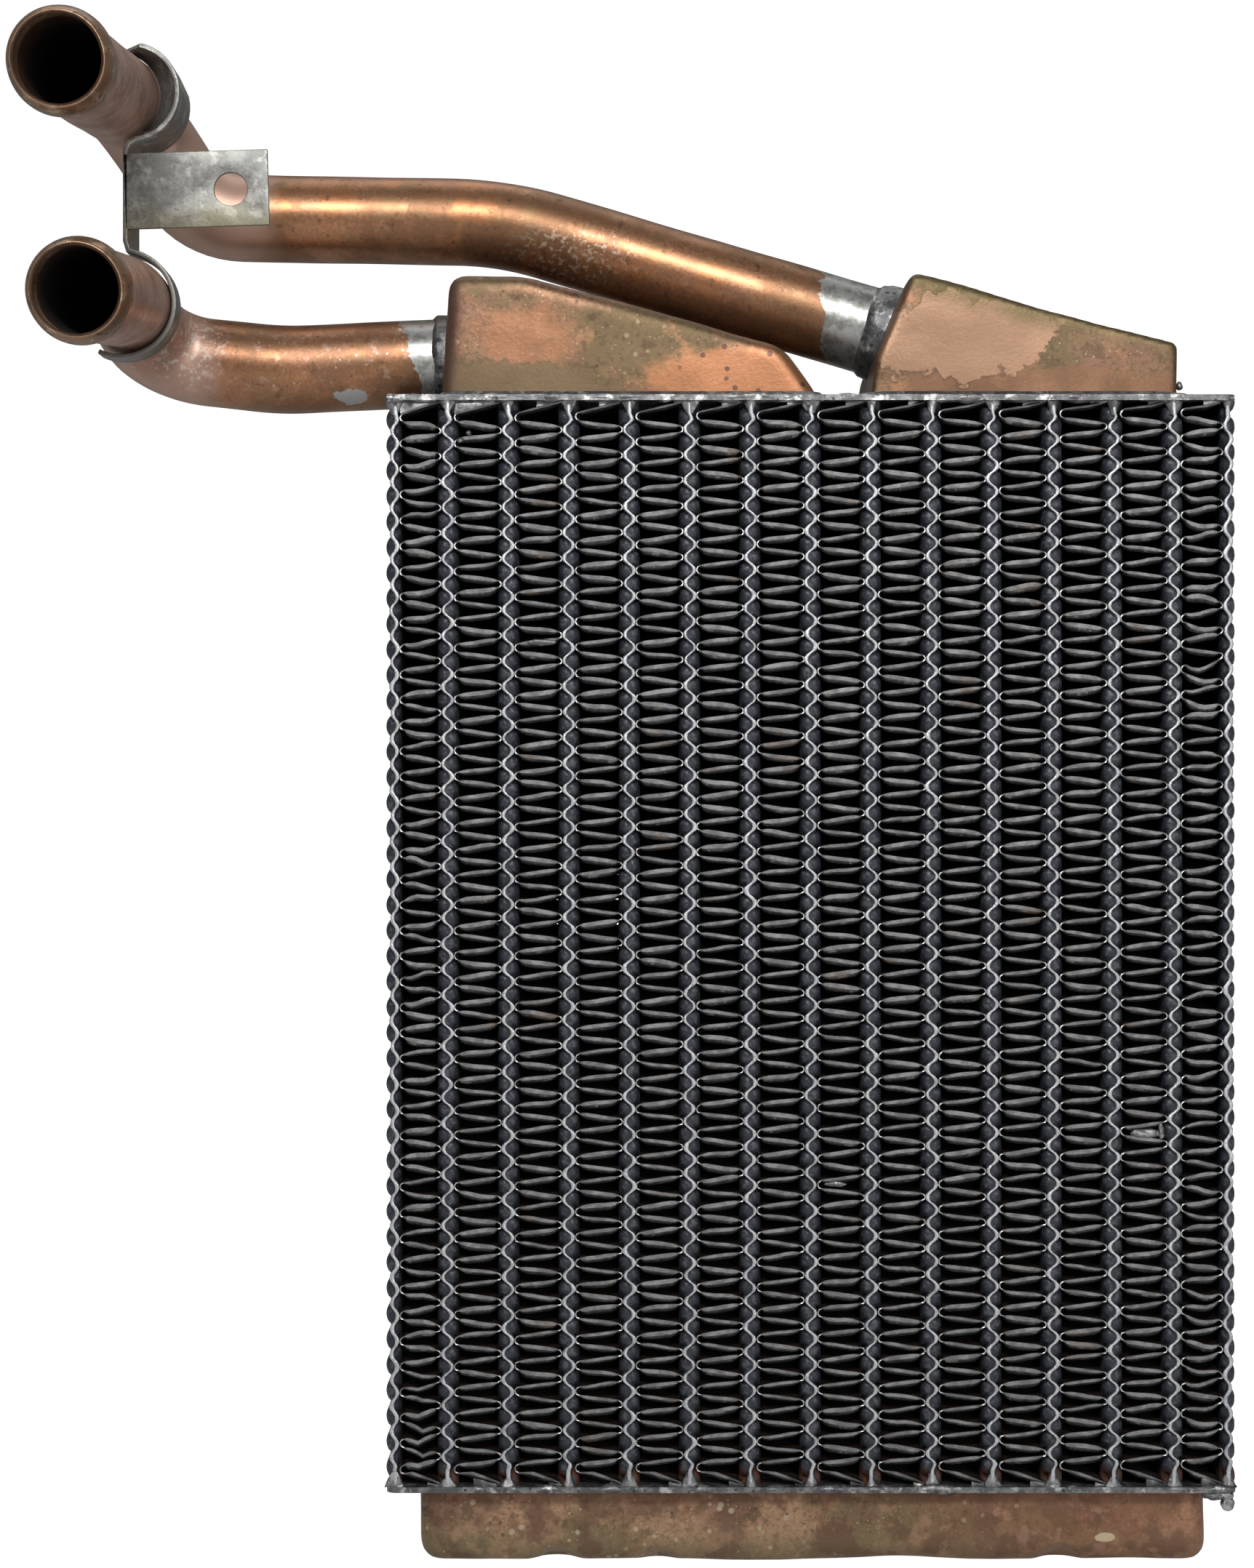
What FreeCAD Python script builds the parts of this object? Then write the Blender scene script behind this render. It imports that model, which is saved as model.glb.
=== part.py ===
import FreeCAD, Part
import math
import os

# Cellular copper and brass heater core: a small radiator that warms a car's cabin.
# Origin: centre of the return tank's underside. +X right, +Y to the back, +Z up, in millimetres.
# Water enters one hose end, runs down half of the tubes, turns in the return tank below and
# comes up the other half.

Vector = FreeCAD.Vector

# core
TUBE_COUNT = 13
TUBE_PITCH = 12.7
CORE_DEPTH = 50.8
CORE_OFFSET = -0.8            # the core sits a little left of the return tank's centre
TUBE_WALL = 0.3
TUBE_HALF_WIDTH = 2.3         # from the tube's centre plane to its flat side wall
SEAM_DEPTH = 3.0              # front and back lips, where the two ribbons are soldered together
SEAM_SWING = 1.2              # the lips zigzag this far to each side
SEAM_THICKNESS = 0.7
FIN_PITCH = 5.38              # height of one full fold of a fin, and of one zigzag of a lip
FIN_THICKNESS = 0.2
FIN_FOLD = 0.7                # half height of a fin's flat fold
FIN_INSET = 0.6               # the fins stop this far behind the lips' edges
FIN_GAP = 0.05                # solder gap between a fold and the tube wall
FIRST_PEAK_Z = 21.2           # height of the lowest right-hand peak of the lips
ZIGZAG_COUNT = 41

# tanks and header plates
RETURN_TANK_HEIGHT = 16.0
RETURN_TANK_LENGTH = 166.2
TANK_DEPTH = 44.0
TANK_WALL = 0.8
TANK_CORNER = 5.0
HEADER_THICKNESS = 1.2
HEADER_LENGTH = 178.0
HEADER_DEPTH = 52.0
HEADER_TOP_Z = 246.1
SLOT_WIDTH = 0.8
SLOT_DEPTH = 38.0
LEFT_SLOTS = (-76.4, 12.5, 7)     # first slot, pitch and count under the left top tank
RIGHT_SLOTS = (13.3, 12.3, 6)

# pipes
PIPE_RADIUS = 9.525
PIPE_WALL = 1.0
BEAD_RADIUS = 10.45
LIP_RADIUS = 9.2
BEAD_START = 3.0              # from the end of the pipe to the bead's crest
BEAD_CREST = 3.2
BEAD_RAMP = 0.9
COLLAR_WALL = 0.75
COLLAR_LENGTH = 6.0
UPPER_ROUTE = (
    Vector(-147.5, -78.9, 302.1),
    Vector(-149.1, 7.1, 314.3),
    Vector(-134.4, 10.6, 290.8),
    Vector(-66.8, 10.6, 289.5),
    Vector(16.7, 2.1, 263.3),
)
UPPER_RADII = (14.0, 17.0, 70.0)
LOWER_ROUTE = (
    Vector(-145.2, -73.4, 259.3),
    Vector(-145.6, -17.4, 266.8),
    Vector(-142.0, 1.6, 258.1),
    Vector(-114.8, -0.9, 254.9),
    Vector(-76.5, -0.4, 256.7),
)
LOWER_RADII = (22.0, 13.0, 60.0)

# strap that ties both pipes together, with the tab that it is screwed down by
STRAP_FRONT_Y = -21.4
STRAP_THICKNESS = 1.0
STRAP_DEPTH = 14.0
HOOK_DEPTH = 6.0
CLIP_CENTRE = (-144.3, 310.7)
CLIP_RADIUS = 10.5
CLIP_ANGLES = (-97.0, 78.0)
HOOK_CENTRE = (-146.2, 266.0)
HOOK_RADIUS = 11.7
HOOK_ANGLES = (-115.0, 74.0)
STRIP_X = -145.3
STRIP_TOP_Z = 298.4
STRIP_BOTTOM_Z = 278.9
TAB_LENGTH = 30.5
TAB_HEIGHT = 16.0
TAB_TILT = 1.8
TAB_TOP_Z = 297.6
HOLE_RADIUS = 3.5
HOLE_FROM_STRIP = 22.5
HOLE_BELOW_TOP = 8.2

# solder beads
BEAD_LEG = 1.2

FRONT_Y = -CORE_DEPTH / 2
TUBE_BOTTOM_Z = RETURN_TANK_HEIGHT + HEADER_THICKNESS
TUBE_TOP_Z = HEADER_TOP_Z - HEADER_THICKNESS
TUBE_HEIGHT = TUBE_TOP_Z - TUBE_BOTTOM_Z


def save(name, shape):
    """Write one sub-part, after a check that it is valid."""
    if not shape.isValid() or shape.Volume <= 0:
        raise ValueError(name + " is not a valid solid")
    shape.exportStep("parts/" + name + ".step")
    print(name, len(shape.Solids), round(shape.Volume, 1))


def box(x_low, x_high, y_low, y_high, z_low, z_high):
    """A box between two opposite corners."""
    return Part.makeBox(x_high - x_low, y_high - y_low, z_high - z_low, Vector(x_low, y_low, z_low))


def tube_x(index):
    """Centre of tube number index, counted from the left."""
    return CORE_OFFSET + (index - (TUBE_COUNT - 1) / 2) * TUBE_PITCH


def side_normal(start, end):
    """Unit normal of a line in the X-Z plane, to its left."""
    length = math.hypot(end[0] - start[0], end[1] - start[1])
    return ((start[1] - end[1]) / length, (end[0] - start[0]) / length)


def offset_line(points, distance):
    """The line through points, moved sideways by distance with mitred corners."""
    normals = [side_normal(a, b) for a, b in zip(points, points[1:])]
    before = [normals[0]] + normals
    after = normals + [normals[-1]]
    moved = []
    for (x, z), first, second in zip(points, before, after):
        shrink = distance / (1 + first[0] * second[0] + first[1] * second[1])
        moved.append((x + shrink * (first[0] + second[0]), z + shrink * (first[1] + second[1])))
    return moved


def ribbon(points, thickness, y_low, y_high):
    """A thin strip that follows points in the X-Z plane and runs from y_low to y_high."""
    outline = offset_line(points, thickness / 2) + offset_line(points, -thickness / 2)[::-1]
    corners = [Vector(x, y_low, z) for x, z in outline]
    face = Part.Face(Part.makePolygon(corners + corners[:1]))
    return face.extrude(Vector(0, y_high - y_low, 0))


def seam_points(x_middle, swing):
    """The zigzag of a tube's lip, straight where it meets the header plates."""
    points = [(x_middle, TUBE_BOTTOM_Z)]
    points.append((x_middle, FIRST_PEAK_Z - FIN_PITCH / 4))
    for index in range(ZIGZAG_COUNT):
        peak_z = FIRST_PEAK_Z + index * FIN_PITCH
        points.append((x_middle + swing, peak_z))
        points.append((x_middle - swing, peak_z + FIN_PITCH / 2))
    points.append((x_middle, FIRST_PEAK_Z + (ZIGZAG_COUNT - 0.25) * FIN_PITCH))
    points.append((x_middle, TUBE_TOP_Z))
    return points


def lips(x_middle, swing):
    """The front and back lips of a ribbon."""
    points = seam_points(x_middle, swing)
    front = ribbon(points, SEAM_THICKNESS, FRONT_Y, FRONT_Y + SEAM_DEPTH)
    back = ribbon(points, SEAM_THICKNESS, -FRONT_Y - SEAM_DEPTH, -FRONT_Y)
    return [front, back]


def water_tube(index):
    """A flat tube of two ribbons, open at both ends, with soldered zigzag lips."""
    middle = tube_x(index)
    low_x = middle - TUBE_HALF_WIDTH
    high_x = middle + TUBE_HALF_WIDTH
    low_y = FRONT_Y + SEAM_DEPTH
    outer = box(low_x, high_x, low_y, -low_y, TUBE_BOTTOM_Z, TUBE_TOP_Z)
    bore = box(low_x + TUBE_WALL, high_x - TUBE_WALL, low_y + TUBE_WALL, -low_y - TUBE_WALL,
               TUBE_BOTTOM_Z, TUBE_TOP_Z)
    return outer.cut(bore).fuse(lips(middle, SEAM_SWING)).removeSplitter()


def side_ribbon(side):
    """The single ribbon that closes the core at the left (-1) or right (+1) side."""
    middle = CORE_OFFSET + side * TUBE_PITCH * (TUBE_COUNT + 1) / 2
    wall_x = middle - side * TUBE_HALF_WIDTH
    edge_x = middle + side * 0.2
    low_y = FRONT_Y + SEAM_DEPTH
    wall = box(min(wall_x, wall_x + side * TUBE_WALL), max(wall_x, wall_x + side * TUBE_WALL),
               low_y, -low_y, TUBE_BOTTOM_Z, TUBE_TOP_Z)
    flanges = []
    for y in (low_y, -low_y - TUBE_WALL):
        flanges.append(box(min(wall_x, edge_x + side * SEAM_SWING), max(wall_x, edge_x + side * SEAM_SWING),
                           y, y + TUBE_WALL, TUBE_BOTTOM_Z, TUBE_TOP_Z))
    return wall.fuse(flanges + lips(edge_x, SEAM_SWING * 0.7)).removeSplitter()


def fin(index):
    """A folded fin between ribbon number index and the next one."""
    left_x = tube_x(index - 1) + TUBE_HALF_WIDTH + FIN_GAP + FIN_THICKNESS / 2
    right_x = tube_x(index) - TUBE_HALF_WIDTH - FIN_GAP - FIN_THICKNESS / 2
    points = [(right_x, TUBE_BOTTOM_Z + FIN_THICKNESS)]
    for turn in range(ZIGZAG_COUNT + 1):
        left_z = FIRST_PEAK_Z + turn * FIN_PITCH
        right_z = left_z + FIN_PITCH / 2
        points += [(left_x, left_z - FIN_FOLD), (left_x, left_z + FIN_FOLD)]
        if turn < ZIGZAG_COUNT:
            points += [(right_x, right_z - FIN_FOLD), (right_x, right_z + FIN_FOLD)]
    points.append((right_x, TUBE_TOP_Z - FIN_THICKNESS))
    return ribbon(points, FIN_THICKNESS, FRONT_Y + FIN_INSET, -FRONT_Y - FIN_INSET)


def slot_cutters(first, pitch, count):
    """The slots that let water through a header plate."""
    cutters = []
    for index in range(count):
        x = first + index * pitch
        cutters.append(box(x - SLOT_WIDTH / 2, x + SLOT_WIDTH / 2, -SLOT_DEPTH / 2, SLOT_DEPTH / 2,
                           0, HEADER_TOP_Z + TANK_WALL))
    return cutters


def header_plate(bottom_z):
    """A slotted plate that the tubes are soldered to."""
    plate = box(CORE_OFFSET - HEADER_LENGTH / 2, CORE_OFFSET + HEADER_LENGTH / 2,
                -HEADER_DEPTH / 2, HEADER_DEPTH / 2, bottom_z, bottom_z + HEADER_THICKNESS)
    corners = [edge for edge in plate.Edges if edge.BoundBox.ZLength > HEADER_THICKNESS / 2]
    plate = plate.makeFillet(2.0, corners)
    return plate.cut(slot_cutters(*LEFT_SLOTS) + slot_cutters(*RIGHT_SLOTS))


def hollow(block, open_face):
    """A pressed shell with one open face, made from a solid block."""
    return block.makeThickness([open_face], -TANK_WALL, 0.001)


def face_at(shape, z):
    """The flat face of shape that lies at height z."""
    for face in shape.Faces:
        bounds = face.BoundBox
        if abs(bounds.ZMin - z) < 1e-6 and abs(bounds.ZMax - z) < 1e-6:
            return face
    raise ValueError("no face at that height")


def rounded_block(block, base_z, radius):
    """Round every edge of a block except those of its base."""
    edges = [edge for edge in block.Edges if edge.BoundBox.ZMax > base_z + 1e-6]
    return block.makeFillet(radius, edges)


def return_tank():
    """The shallow tank under the core, open at the top."""
    half = RETURN_TANK_LENGTH / 2
    block = box(-half, half, -TANK_DEPTH / 2, TANK_DEPTH / 2, 0, RETURN_TANK_HEIGHT)
    upright = [edge for edge in block.Edges if edge.BoundBox.ZLength > 1]
    block = block.makeFillet(TANK_CORNER, upright)
    bottom = [edge for edge in block.Edges if edge.BoundBox.ZMax < 1e-6]
    block = block.makeFillet(2.5, bottom)
    return hollow(block, face_at(block, RETURN_TANK_HEIGHT))


def tank_block(outline, corner):
    """A top tank's outer shape: a side view outline, run through the tank's depth and rounded."""
    corners = [Vector(x, -TANK_DEPTH / 2, z) for x, z in outline]
    face = Part.Face(Part.makePolygon(corners + corners[:1]))
    block = face.extrude(Vector(0, TANK_DEPTH, 0))
    return rounded_block(block, HEADER_TOP_Z, corner)


def left_tank_block():
    """Outer shape of the top tank beside the pipes."""
    outline = [(1.6, HEADER_TOP_Z), (-78.7, HEADER_TOP_Z), (-77.0, 272.1), (-61.0, 272.1), (-6.2, 257.4)]
    return tank_block(outline, 4.5)


def right_tank_block():
    """Outer shape of the far top tank."""
    outline = [(76.9, HEADER_TOP_Z), (11.8, HEADER_TOP_Z), (13.6, 255.5), (20.9, 272.6), (73.2, 258.6),
               (76.9, 254.0)]
    return tank_block(outline, 2.5)


def route_wire(points, radii):
    """A pipe's centre line: straight runs joined by tangent arcs."""
    edges = []
    start = points[0]
    for before, corner, after, radius in zip(points, points[1:], points[2:], radii):
        arriving = (corner - before).normalize()
        leaving = (after - corner).normalize()
        turn = arriving.getAngle(leaving)
        reach = radius * math.tan(turn / 2)
        arc_start = corner - arriving * reach
        arc_end = corner + leaving * reach
        inward = (leaving - arriving).normalize()
        middle = corner + inward * (radius / math.cos(turn / 2) - radius)
        edges.append(Part.LineSegment(start, arc_start).toShape())
        edges.append(Part.Arc(arc_start, middle, arc_end).toShape())
        start = arc_end
    edges.append(Part.LineSegment(start, points[-1]).toShape())
    print("straight end", round(edges[0].Length, 2), "direction", edges[0].tangentAt(0))
    return Part.Wire(edges)


def swept(points, radii, radius):
    """A round bar along a route."""
    wire = route_wire(points, radii)
    direction = points[1] - points[0]
    profile = Part.Wire(Part.makeCircle(radius, points[0], direction))
    return wire.makePipeShell([profile], True, False)


def hose_bead(points):
    """The rolled bead and rounded lip at a pipe's free end, as a ring around its bore."""
    profile = [
        (PIPE_RADIUS - PIPE_WALL, 0),
        (LIP_RADIUS, 0),
        (BEAD_RADIUS, BEAD_START),
        (BEAD_RADIUS, BEAD_START + BEAD_CREST),
        (PIPE_RADIUS, BEAD_START + BEAD_CREST + BEAD_RAMP),
        (PIPE_RADIUS - PIPE_WALL, BEAD_START + BEAD_CREST + BEAD_RAMP),
    ]
    corners = [Vector(radius, 0, along) for radius, along in profile]
    ring = Part.Face(Part.makePolygon(corners + corners[:1])).revolve(Vector(0, 0, 0), Vector(0, 0, 1), 360)
    turn = FreeCAD.Rotation(Vector(0, 0, 1), points[1] - points[0])
    ring.Placement = FreeCAD.Placement(points[0], turn)
    return ring


def pipe(points, radii):
    """A bent copper pipe with a beaded hose end."""
    outer = swept(points, radii, PIPE_RADIUS)
    bore = swept(points, radii, PIPE_RADIUS - PIPE_WALL)
    nose = Part.makeCylinder(PIPE_RADIUS + 1, BEAD_START, points[0], points[1] - points[0])
    return outer.cut(bore).cut(nose).fuse(hose_bead(points)).removeSplitter()


def collar(points, tank):
    """The short sleeve around a pipe, against the tank wall that the pipe enters."""
    direction = (points[-2] - points[-1]).normalize()
    sleeve = Part.makeCylinder(PIPE_RADIUS + COLLAR_WALL, COLLAR_LENGTH, points[-1], direction)
    bore = Part.makeCylinder(PIPE_RADIUS, COLLAR_LENGTH, points[-1], direction)
    return sleeve.cut(bore).cut(tank)


def arc_band(centre, radius, angles, depth):
    """A band of strap bent to an arc, with its outer radius given, from the front face back."""
    low = math.radians(angles[0])
    high = math.radians(angles[1])
    middle = (low + high) / 2
    edges = []
    ends = []
    for size in (radius, radius - STRAP_THICKNESS):
        points = []
        for angle in (low, middle, high):
            points.append(Vector(centre[0] + size * math.cos(angle), STRAP_FRONT_Y,
                                 centre[1] + size * math.sin(angle)))
        edges.append(Part.Arc(*points).toShape())
        ends.append((points[0], points[2]))
    edges.append(Part.LineSegment(ends[0][0], ends[1][0]).toShape())
    edges.append(Part.LineSegment(ends[0][1], ends[1][1]).toShape())
    face = Part.Face(Part.Wire(Part.__sortEdges__(edges)))
    return face.extrude(Vector(0, depth, 0))


def on_circle(centre, radius, angle):
    """A point on a circle in the X-Z plane."""
    turn = math.radians(angle)
    return (centre[0] + radius * math.cos(turn), centre[1] + radius * math.sin(turn))


def tab():
    """The flat lug, bent forward from the strip's front edge, with its screw hole."""
    plate = box(0, TAB_LENGTH, 0, STRAP_THICKNESS, -TAB_HEIGHT, 0)
    hole = Part.makeCylinder(HOLE_RADIUS, STRAP_THICKNESS, Vector(HOLE_FROM_STRIP, 0, -HOLE_BELOW_TOP),
                             Vector(0, 1, 0))
    lug = plate.cut(hole)
    lug.rotate(Vector(0, 0, 0), Vector(0, 1, 0), -TAB_TILT)
    lug.translate(Vector(STRIP_X - STRAP_THICKNESS / 2, STRAP_FRONT_Y, TAB_TOP_Z))
    return lug


def bracket():
    """The strap: a clip round the upper pipe, a strip with the tab, a hook round the lower pipe."""
    half = STRAP_THICKNESS / 2
    back_y = STRAP_FRONT_Y + STRAP_DEPTH
    clip_end = on_circle(CLIP_CENTRE, CLIP_RADIUS - half, CLIP_ANGLES[0])
    hook_end = on_circle(HOOK_CENTRE, HOOK_RADIUS - half, HOOK_ANGLES[1])
    shoulder = [clip_end, (STRIP_X + 0.7, clip_end[1] - 0.1), (STRIP_X, STRIP_TOP_Z), (STRIP_X, STRIP_BOTTOM_Z)]
    neck = [(STRIP_X, STRIP_BOTTOM_Z + 1), (STRIP_X, STRIP_BOTTOM_Z), (STRIP_X + 0.7, hook_end[1] + 0.3), hook_end]
    pieces = [
        arc_band(HOOK_CENTRE, HOOK_RADIUS, HOOK_ANGLES, HOOK_DEPTH),
        ribbon(shoulder, STRAP_THICKNESS, STRAP_FRONT_Y, back_y),
        ribbon(neck, STRAP_THICKNESS, STRAP_FRONT_Y, STRAP_FRONT_Y + HOOK_DEPTH),
        tab(),
    ]
    return arc_band(CLIP_CENTRE, CLIP_RADIUS, CLIP_ANGLES, STRAP_DEPTH).fuse(pieces).removeSplitter()


def solder_bead(x_low, x_high, z, rise):
    """A three-sided bead of solder in the corner where a tank's foot meets a header plate."""
    y = TANK_DEPTH / 2
    outer = box(x_low - BEAD_LEG, x_high + BEAD_LEG, -y - BEAD_LEG, y + BEAD_LEG, min(z, z + rise),
                max(z, z + rise))
    upright = [edge for edge in outer.Edges if edge.BoundBox.ZLength > BEAD_LEG / 2]
    outer = outer.makeFillet(TANK_CORNER, upright)
    far_z = outer.BoundBox.ZMax if rise > 0 else outer.BoundBox.ZMin
    slanted = [edge for edge in outer.Edges
               if abs(edge.BoundBox.ZMin - far_z) < 1e-6 and abs(edge.BoundBox.ZMax - far_z) < 1e-6]
    return outer.makeChamfer(BEAD_LEG * 0.8, slanted)


def build_core():
    """The tubes, the fins between them, the side ribbons and the header plates."""
    for index in range(TUBE_COUNT):
        save("water_tube_%02d" % (index + 1), water_tube(index))
    for index in range(TUBE_COUNT + 1):
        save("fin_%02d" % (index + 1), fin(index))
    save("side_ribbon_left", side_ribbon(-1))
    save("side_ribbon_right", side_ribbon(1))
    save("header_plate_bottom", header_plate(RETURN_TANK_HEIGHT))
    save("header_plate_top", header_plate(HEADER_TOP_Z - HEADER_THICKNESS))


def build_tanks():
    """The three tanks, both pipes and what joins them."""
    left = left_tank_block()
    right = right_tank_block()
    upper_bar = swept(UPPER_ROUTE, UPPER_RADII, PIPE_RADIUS)
    lower_bar = swept(LOWER_ROUTE, LOWER_RADII, PIPE_RADIUS)
    bottom = return_tank()
    save("return_tank", bottom)
    save("top_tank_left", hollow(left, face_at(left, HEADER_TOP_Z)).cut(lower_bar))
    save("top_tank_right", hollow(right, face_at(right, HEADER_TOP_Z)).cut(upper_bar))
    save("pipe_upper", pipe(UPPER_ROUTE, UPPER_RADII))
    save("pipe_lower", pipe(LOWER_ROUTE, LOWER_RADII))
    save("collar_upper", collar(UPPER_ROUTE, right))
    save("collar_lower", collar(LOWER_ROUTE, left))
    left_bead = solder_bead(-78.7, 1.6, HEADER_TOP_Z, BEAD_LEG)
    right_bead = solder_bead(11.8, 76.9, HEADER_TOP_Z, BEAD_LEG)
    save("solder_bead_left_tank", left_bead.cut(left))
    save("solder_bead_right_tank", right_bead.cut(right))


os.makedirs("parts", exist_ok=True)
build_core()
build_tanks()
save("pipe_bracket", bracket())
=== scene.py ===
import logging
import math
from dataclasses import dataclass, field
from enum import Enum
from typing import ClassVar, Union

import bpy
import numpy as np
from mathutils import Matrix, Vector, noise


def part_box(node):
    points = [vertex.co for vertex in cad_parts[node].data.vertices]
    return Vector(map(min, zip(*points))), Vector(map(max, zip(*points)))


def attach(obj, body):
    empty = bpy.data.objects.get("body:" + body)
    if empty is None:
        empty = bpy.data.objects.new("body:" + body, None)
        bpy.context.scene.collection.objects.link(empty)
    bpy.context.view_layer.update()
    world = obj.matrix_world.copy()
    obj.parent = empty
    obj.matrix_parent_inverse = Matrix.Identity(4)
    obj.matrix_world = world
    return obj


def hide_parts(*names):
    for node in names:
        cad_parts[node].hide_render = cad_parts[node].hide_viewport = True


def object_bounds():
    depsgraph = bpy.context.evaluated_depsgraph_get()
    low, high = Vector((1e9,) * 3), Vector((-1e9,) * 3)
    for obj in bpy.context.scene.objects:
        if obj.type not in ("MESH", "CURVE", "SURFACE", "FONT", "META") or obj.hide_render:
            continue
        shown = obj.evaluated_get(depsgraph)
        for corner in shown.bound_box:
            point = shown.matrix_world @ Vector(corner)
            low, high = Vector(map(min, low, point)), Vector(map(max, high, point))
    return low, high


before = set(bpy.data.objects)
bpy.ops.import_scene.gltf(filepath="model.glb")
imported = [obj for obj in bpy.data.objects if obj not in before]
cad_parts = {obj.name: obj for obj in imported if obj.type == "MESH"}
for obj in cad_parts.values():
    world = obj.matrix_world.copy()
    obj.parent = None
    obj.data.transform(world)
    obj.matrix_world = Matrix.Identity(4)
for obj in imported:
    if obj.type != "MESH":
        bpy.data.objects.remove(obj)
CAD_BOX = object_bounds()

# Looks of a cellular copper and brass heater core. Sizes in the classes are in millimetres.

MM = 0.001
BODY = "root"
LOG = logging.getLogger("heater_core")
Colour = tuple[float, float, float]
Point = tuple[float, float, float]
Pair = tuple[float, float]
Piece = bpy.types.Object
Material = bpy.types.Material
Socket = bpy.types.NodeSocket
Value = Union[Socket, float, tuple]


class Side(Enum):
    """The side of the core that a ribbon closes."""

    LEFT = -1
    RIGHT = 1


class Face(Enum):
    """The two open faces of the core."""

    FRONT = -1
    BACK = 1


# ---------------------------------------------------------------- places taken from the frame


def middle_x(node: str) -> float:
    """Middle of a CAD node along X, in millimetres."""
    low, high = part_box(node)
    return (low.x + high.x) / 2 / MM


CORE_HALF_DEPTH = -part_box("water_tube_01")[0].y / MM
TUBE_COUNT = sum(name.startswith("water_tube_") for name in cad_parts)
LOWER_PLATE_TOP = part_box("header_plate_bottom")[1].z / MM
UPPER_PLATE_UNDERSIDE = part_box("header_plate_top")[0].z / MM
LIP_NOISE = 7.0          # row of the noise field that the lips' thickness follows
FIN_SEED = 100           # the fins' random numbers start here, one seed to a fin
FOOT_SEED = 41           # the solder feet's random numbers
SLOPE_ANGLE = 12.0       # a tank's edges sharper than this are rounded, in degrees
BEND_STEP = 6.0          # largest turn between two rings of a pipe, in degrees
BAND_STEP = 8.0          # turn between two edges of the strap's rounds, in degrees


# ---------------------------------------------------------------- modelling helpers


def deselect_all() -> None:
    """Leave nothing selected, so that an operator acts only on what comes next."""
    if bpy.context.object and bpy.context.object.mode != "OBJECT":
        bpy.ops.object.mode_set(mode="OBJECT")
    bpy.ops.object.select_all(action="DESELECT")


def named(name: str) -> Piece:
    """Name the active object and its mesh.

    Args:
        name: the piece's name.

    Returns:
        The object.
    """
    piece = bpy.context.object
    piece.name = name
    piece.data.name = name
    return piece


def pick(piece: Piece) -> None:
    """Make one piece the only one selected, and the active one."""
    deselect_all()
    piece.select_set(True)
    bpy.context.view_layer.objects.active = piece


def settle(piece: Piece) -> None:
    """Put a piece's place, turn and size into its mesh."""
    pick(piece)
    bpy.ops.object.transform_apply(location=True, rotation=True, scale=True)


def edit(piece: Piece, action: str = "SELECT") -> None:
    """Enter edit mode on one piece.

    Args:
        piece: the piece.
        action: SELECT to select all of it, DESELECT to select nothing.
    """
    pick(piece)
    bpy.ops.object.mode_set(mode="EDIT")
    bpy.ops.mesh.select_all(action=action)


def leave_edit() -> None:
    """Go back to object mode."""
    bpy.ops.object.mode_set(mode="OBJECT")


def subdivide(piece: Piece, cuts: int) -> None:
    """Divide every edge of a piece by a number of cuts."""
    edit(piece)
    bpy.ops.mesh.subdivide(number_cuts=cuts)
    leave_edit()


def close_up(piece: Piece, gap: float = 1e-6) -> None:
    """Merge doubles, close the holes left open and point every face outwards.

    Args:
        piece: the piece to finish.
        gap: doubles nearer than this are merged, in metres.
    """
    edit(piece)
    bpy.ops.mesh.remove_doubles(threshold=gap)
    bpy.ops.mesh.fill_holes(sides=0)
    bpy.ops.mesh.normals_make_consistent(inside=False)
    leave_edit()


def apply_modifier(piece: Piece, kind: str, **settings: object) -> None:
    """Add a modifier, set it up and apply it.

    Args:
        piece: the piece to change.
        kind: the modifier's type.
        settings: the modifier's own settings.
    """
    pick(piece)
    modifier = piece.modifiers.new(kind.title(), kind)
    for name, value in settings.items():
        setattr(modifier, name, value)
    bpy.ops.object.modifier_apply(modifier=modifier.name)


def smooth(piece: Piece, angle: float = 40.0) -> None:
    """Shade smooth, with an edge left sharp past the angle in degrees."""
    pick(piece)
    bpy.ops.object.shade_smooth_by_angle(angle=math.radians(angle))


def vertex_array(piece: Piece) -> np.ndarray:
    """The piece's vertices as an array of points, in metres."""
    flat = np.empty(len(piece.data.vertices) * 3)
    piece.data.vertices.foreach_get("co", flat)
    return flat.reshape(-1, 3)


def set_vertices(piece: Piece, points: np.ndarray) -> None:
    """Give the piece's vertices new places, in metres."""
    piece.data.vertices.foreach_set("co", points.ravel())
    piece.data.update()


def roughen(piece: Piece, size: float, strength: float, seed: float = 0.0) -> None:
    """Push vertices along their normals by smooth noise, as hand work and knocks do.

    Args:
        piece: the piece to change.
        size: size of the bumps in millimetres.
        strength: furthest push in millimetres.
        seed: shifts the noise, so that two pieces differ.
    """
    shift = Vector((seed, seed * 1.7, -seed))
    moved = []
    for vertex in piece.data.vertices:
        push = noise.noise(vertex.co / (size * MM) + shift) * strength * MM
        moved.append(vertex.co + vertex.normal * push)
    set_vertices(piece, np.array(moved))


def formed_sheet(name: str, points: np.ndarray) -> Piece:
    """A sheet pressed to shape: a flat grid whose vertices take the places given.

    Args:
        name: the piece's name.
        points: places in millimetres, by row and column.

    Returns:
        The piece, with open edges.
    """
    rows, columns, _ = points.shape
    deselect_all()
    bpy.ops.mesh.primitive_grid_add(x_subdivisions=columns - 1, y_subdivisions=rows - 1, size=1)
    sheet = named(name)
    set_vertices(sheet, points.reshape(-1, 3) * MM)
    return sheet


def dress(piece: Piece, material: Material) -> None:
    """Give a piece one finish all over."""
    piece.data.materials.clear()
    piece.data.materials.append(material)


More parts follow.
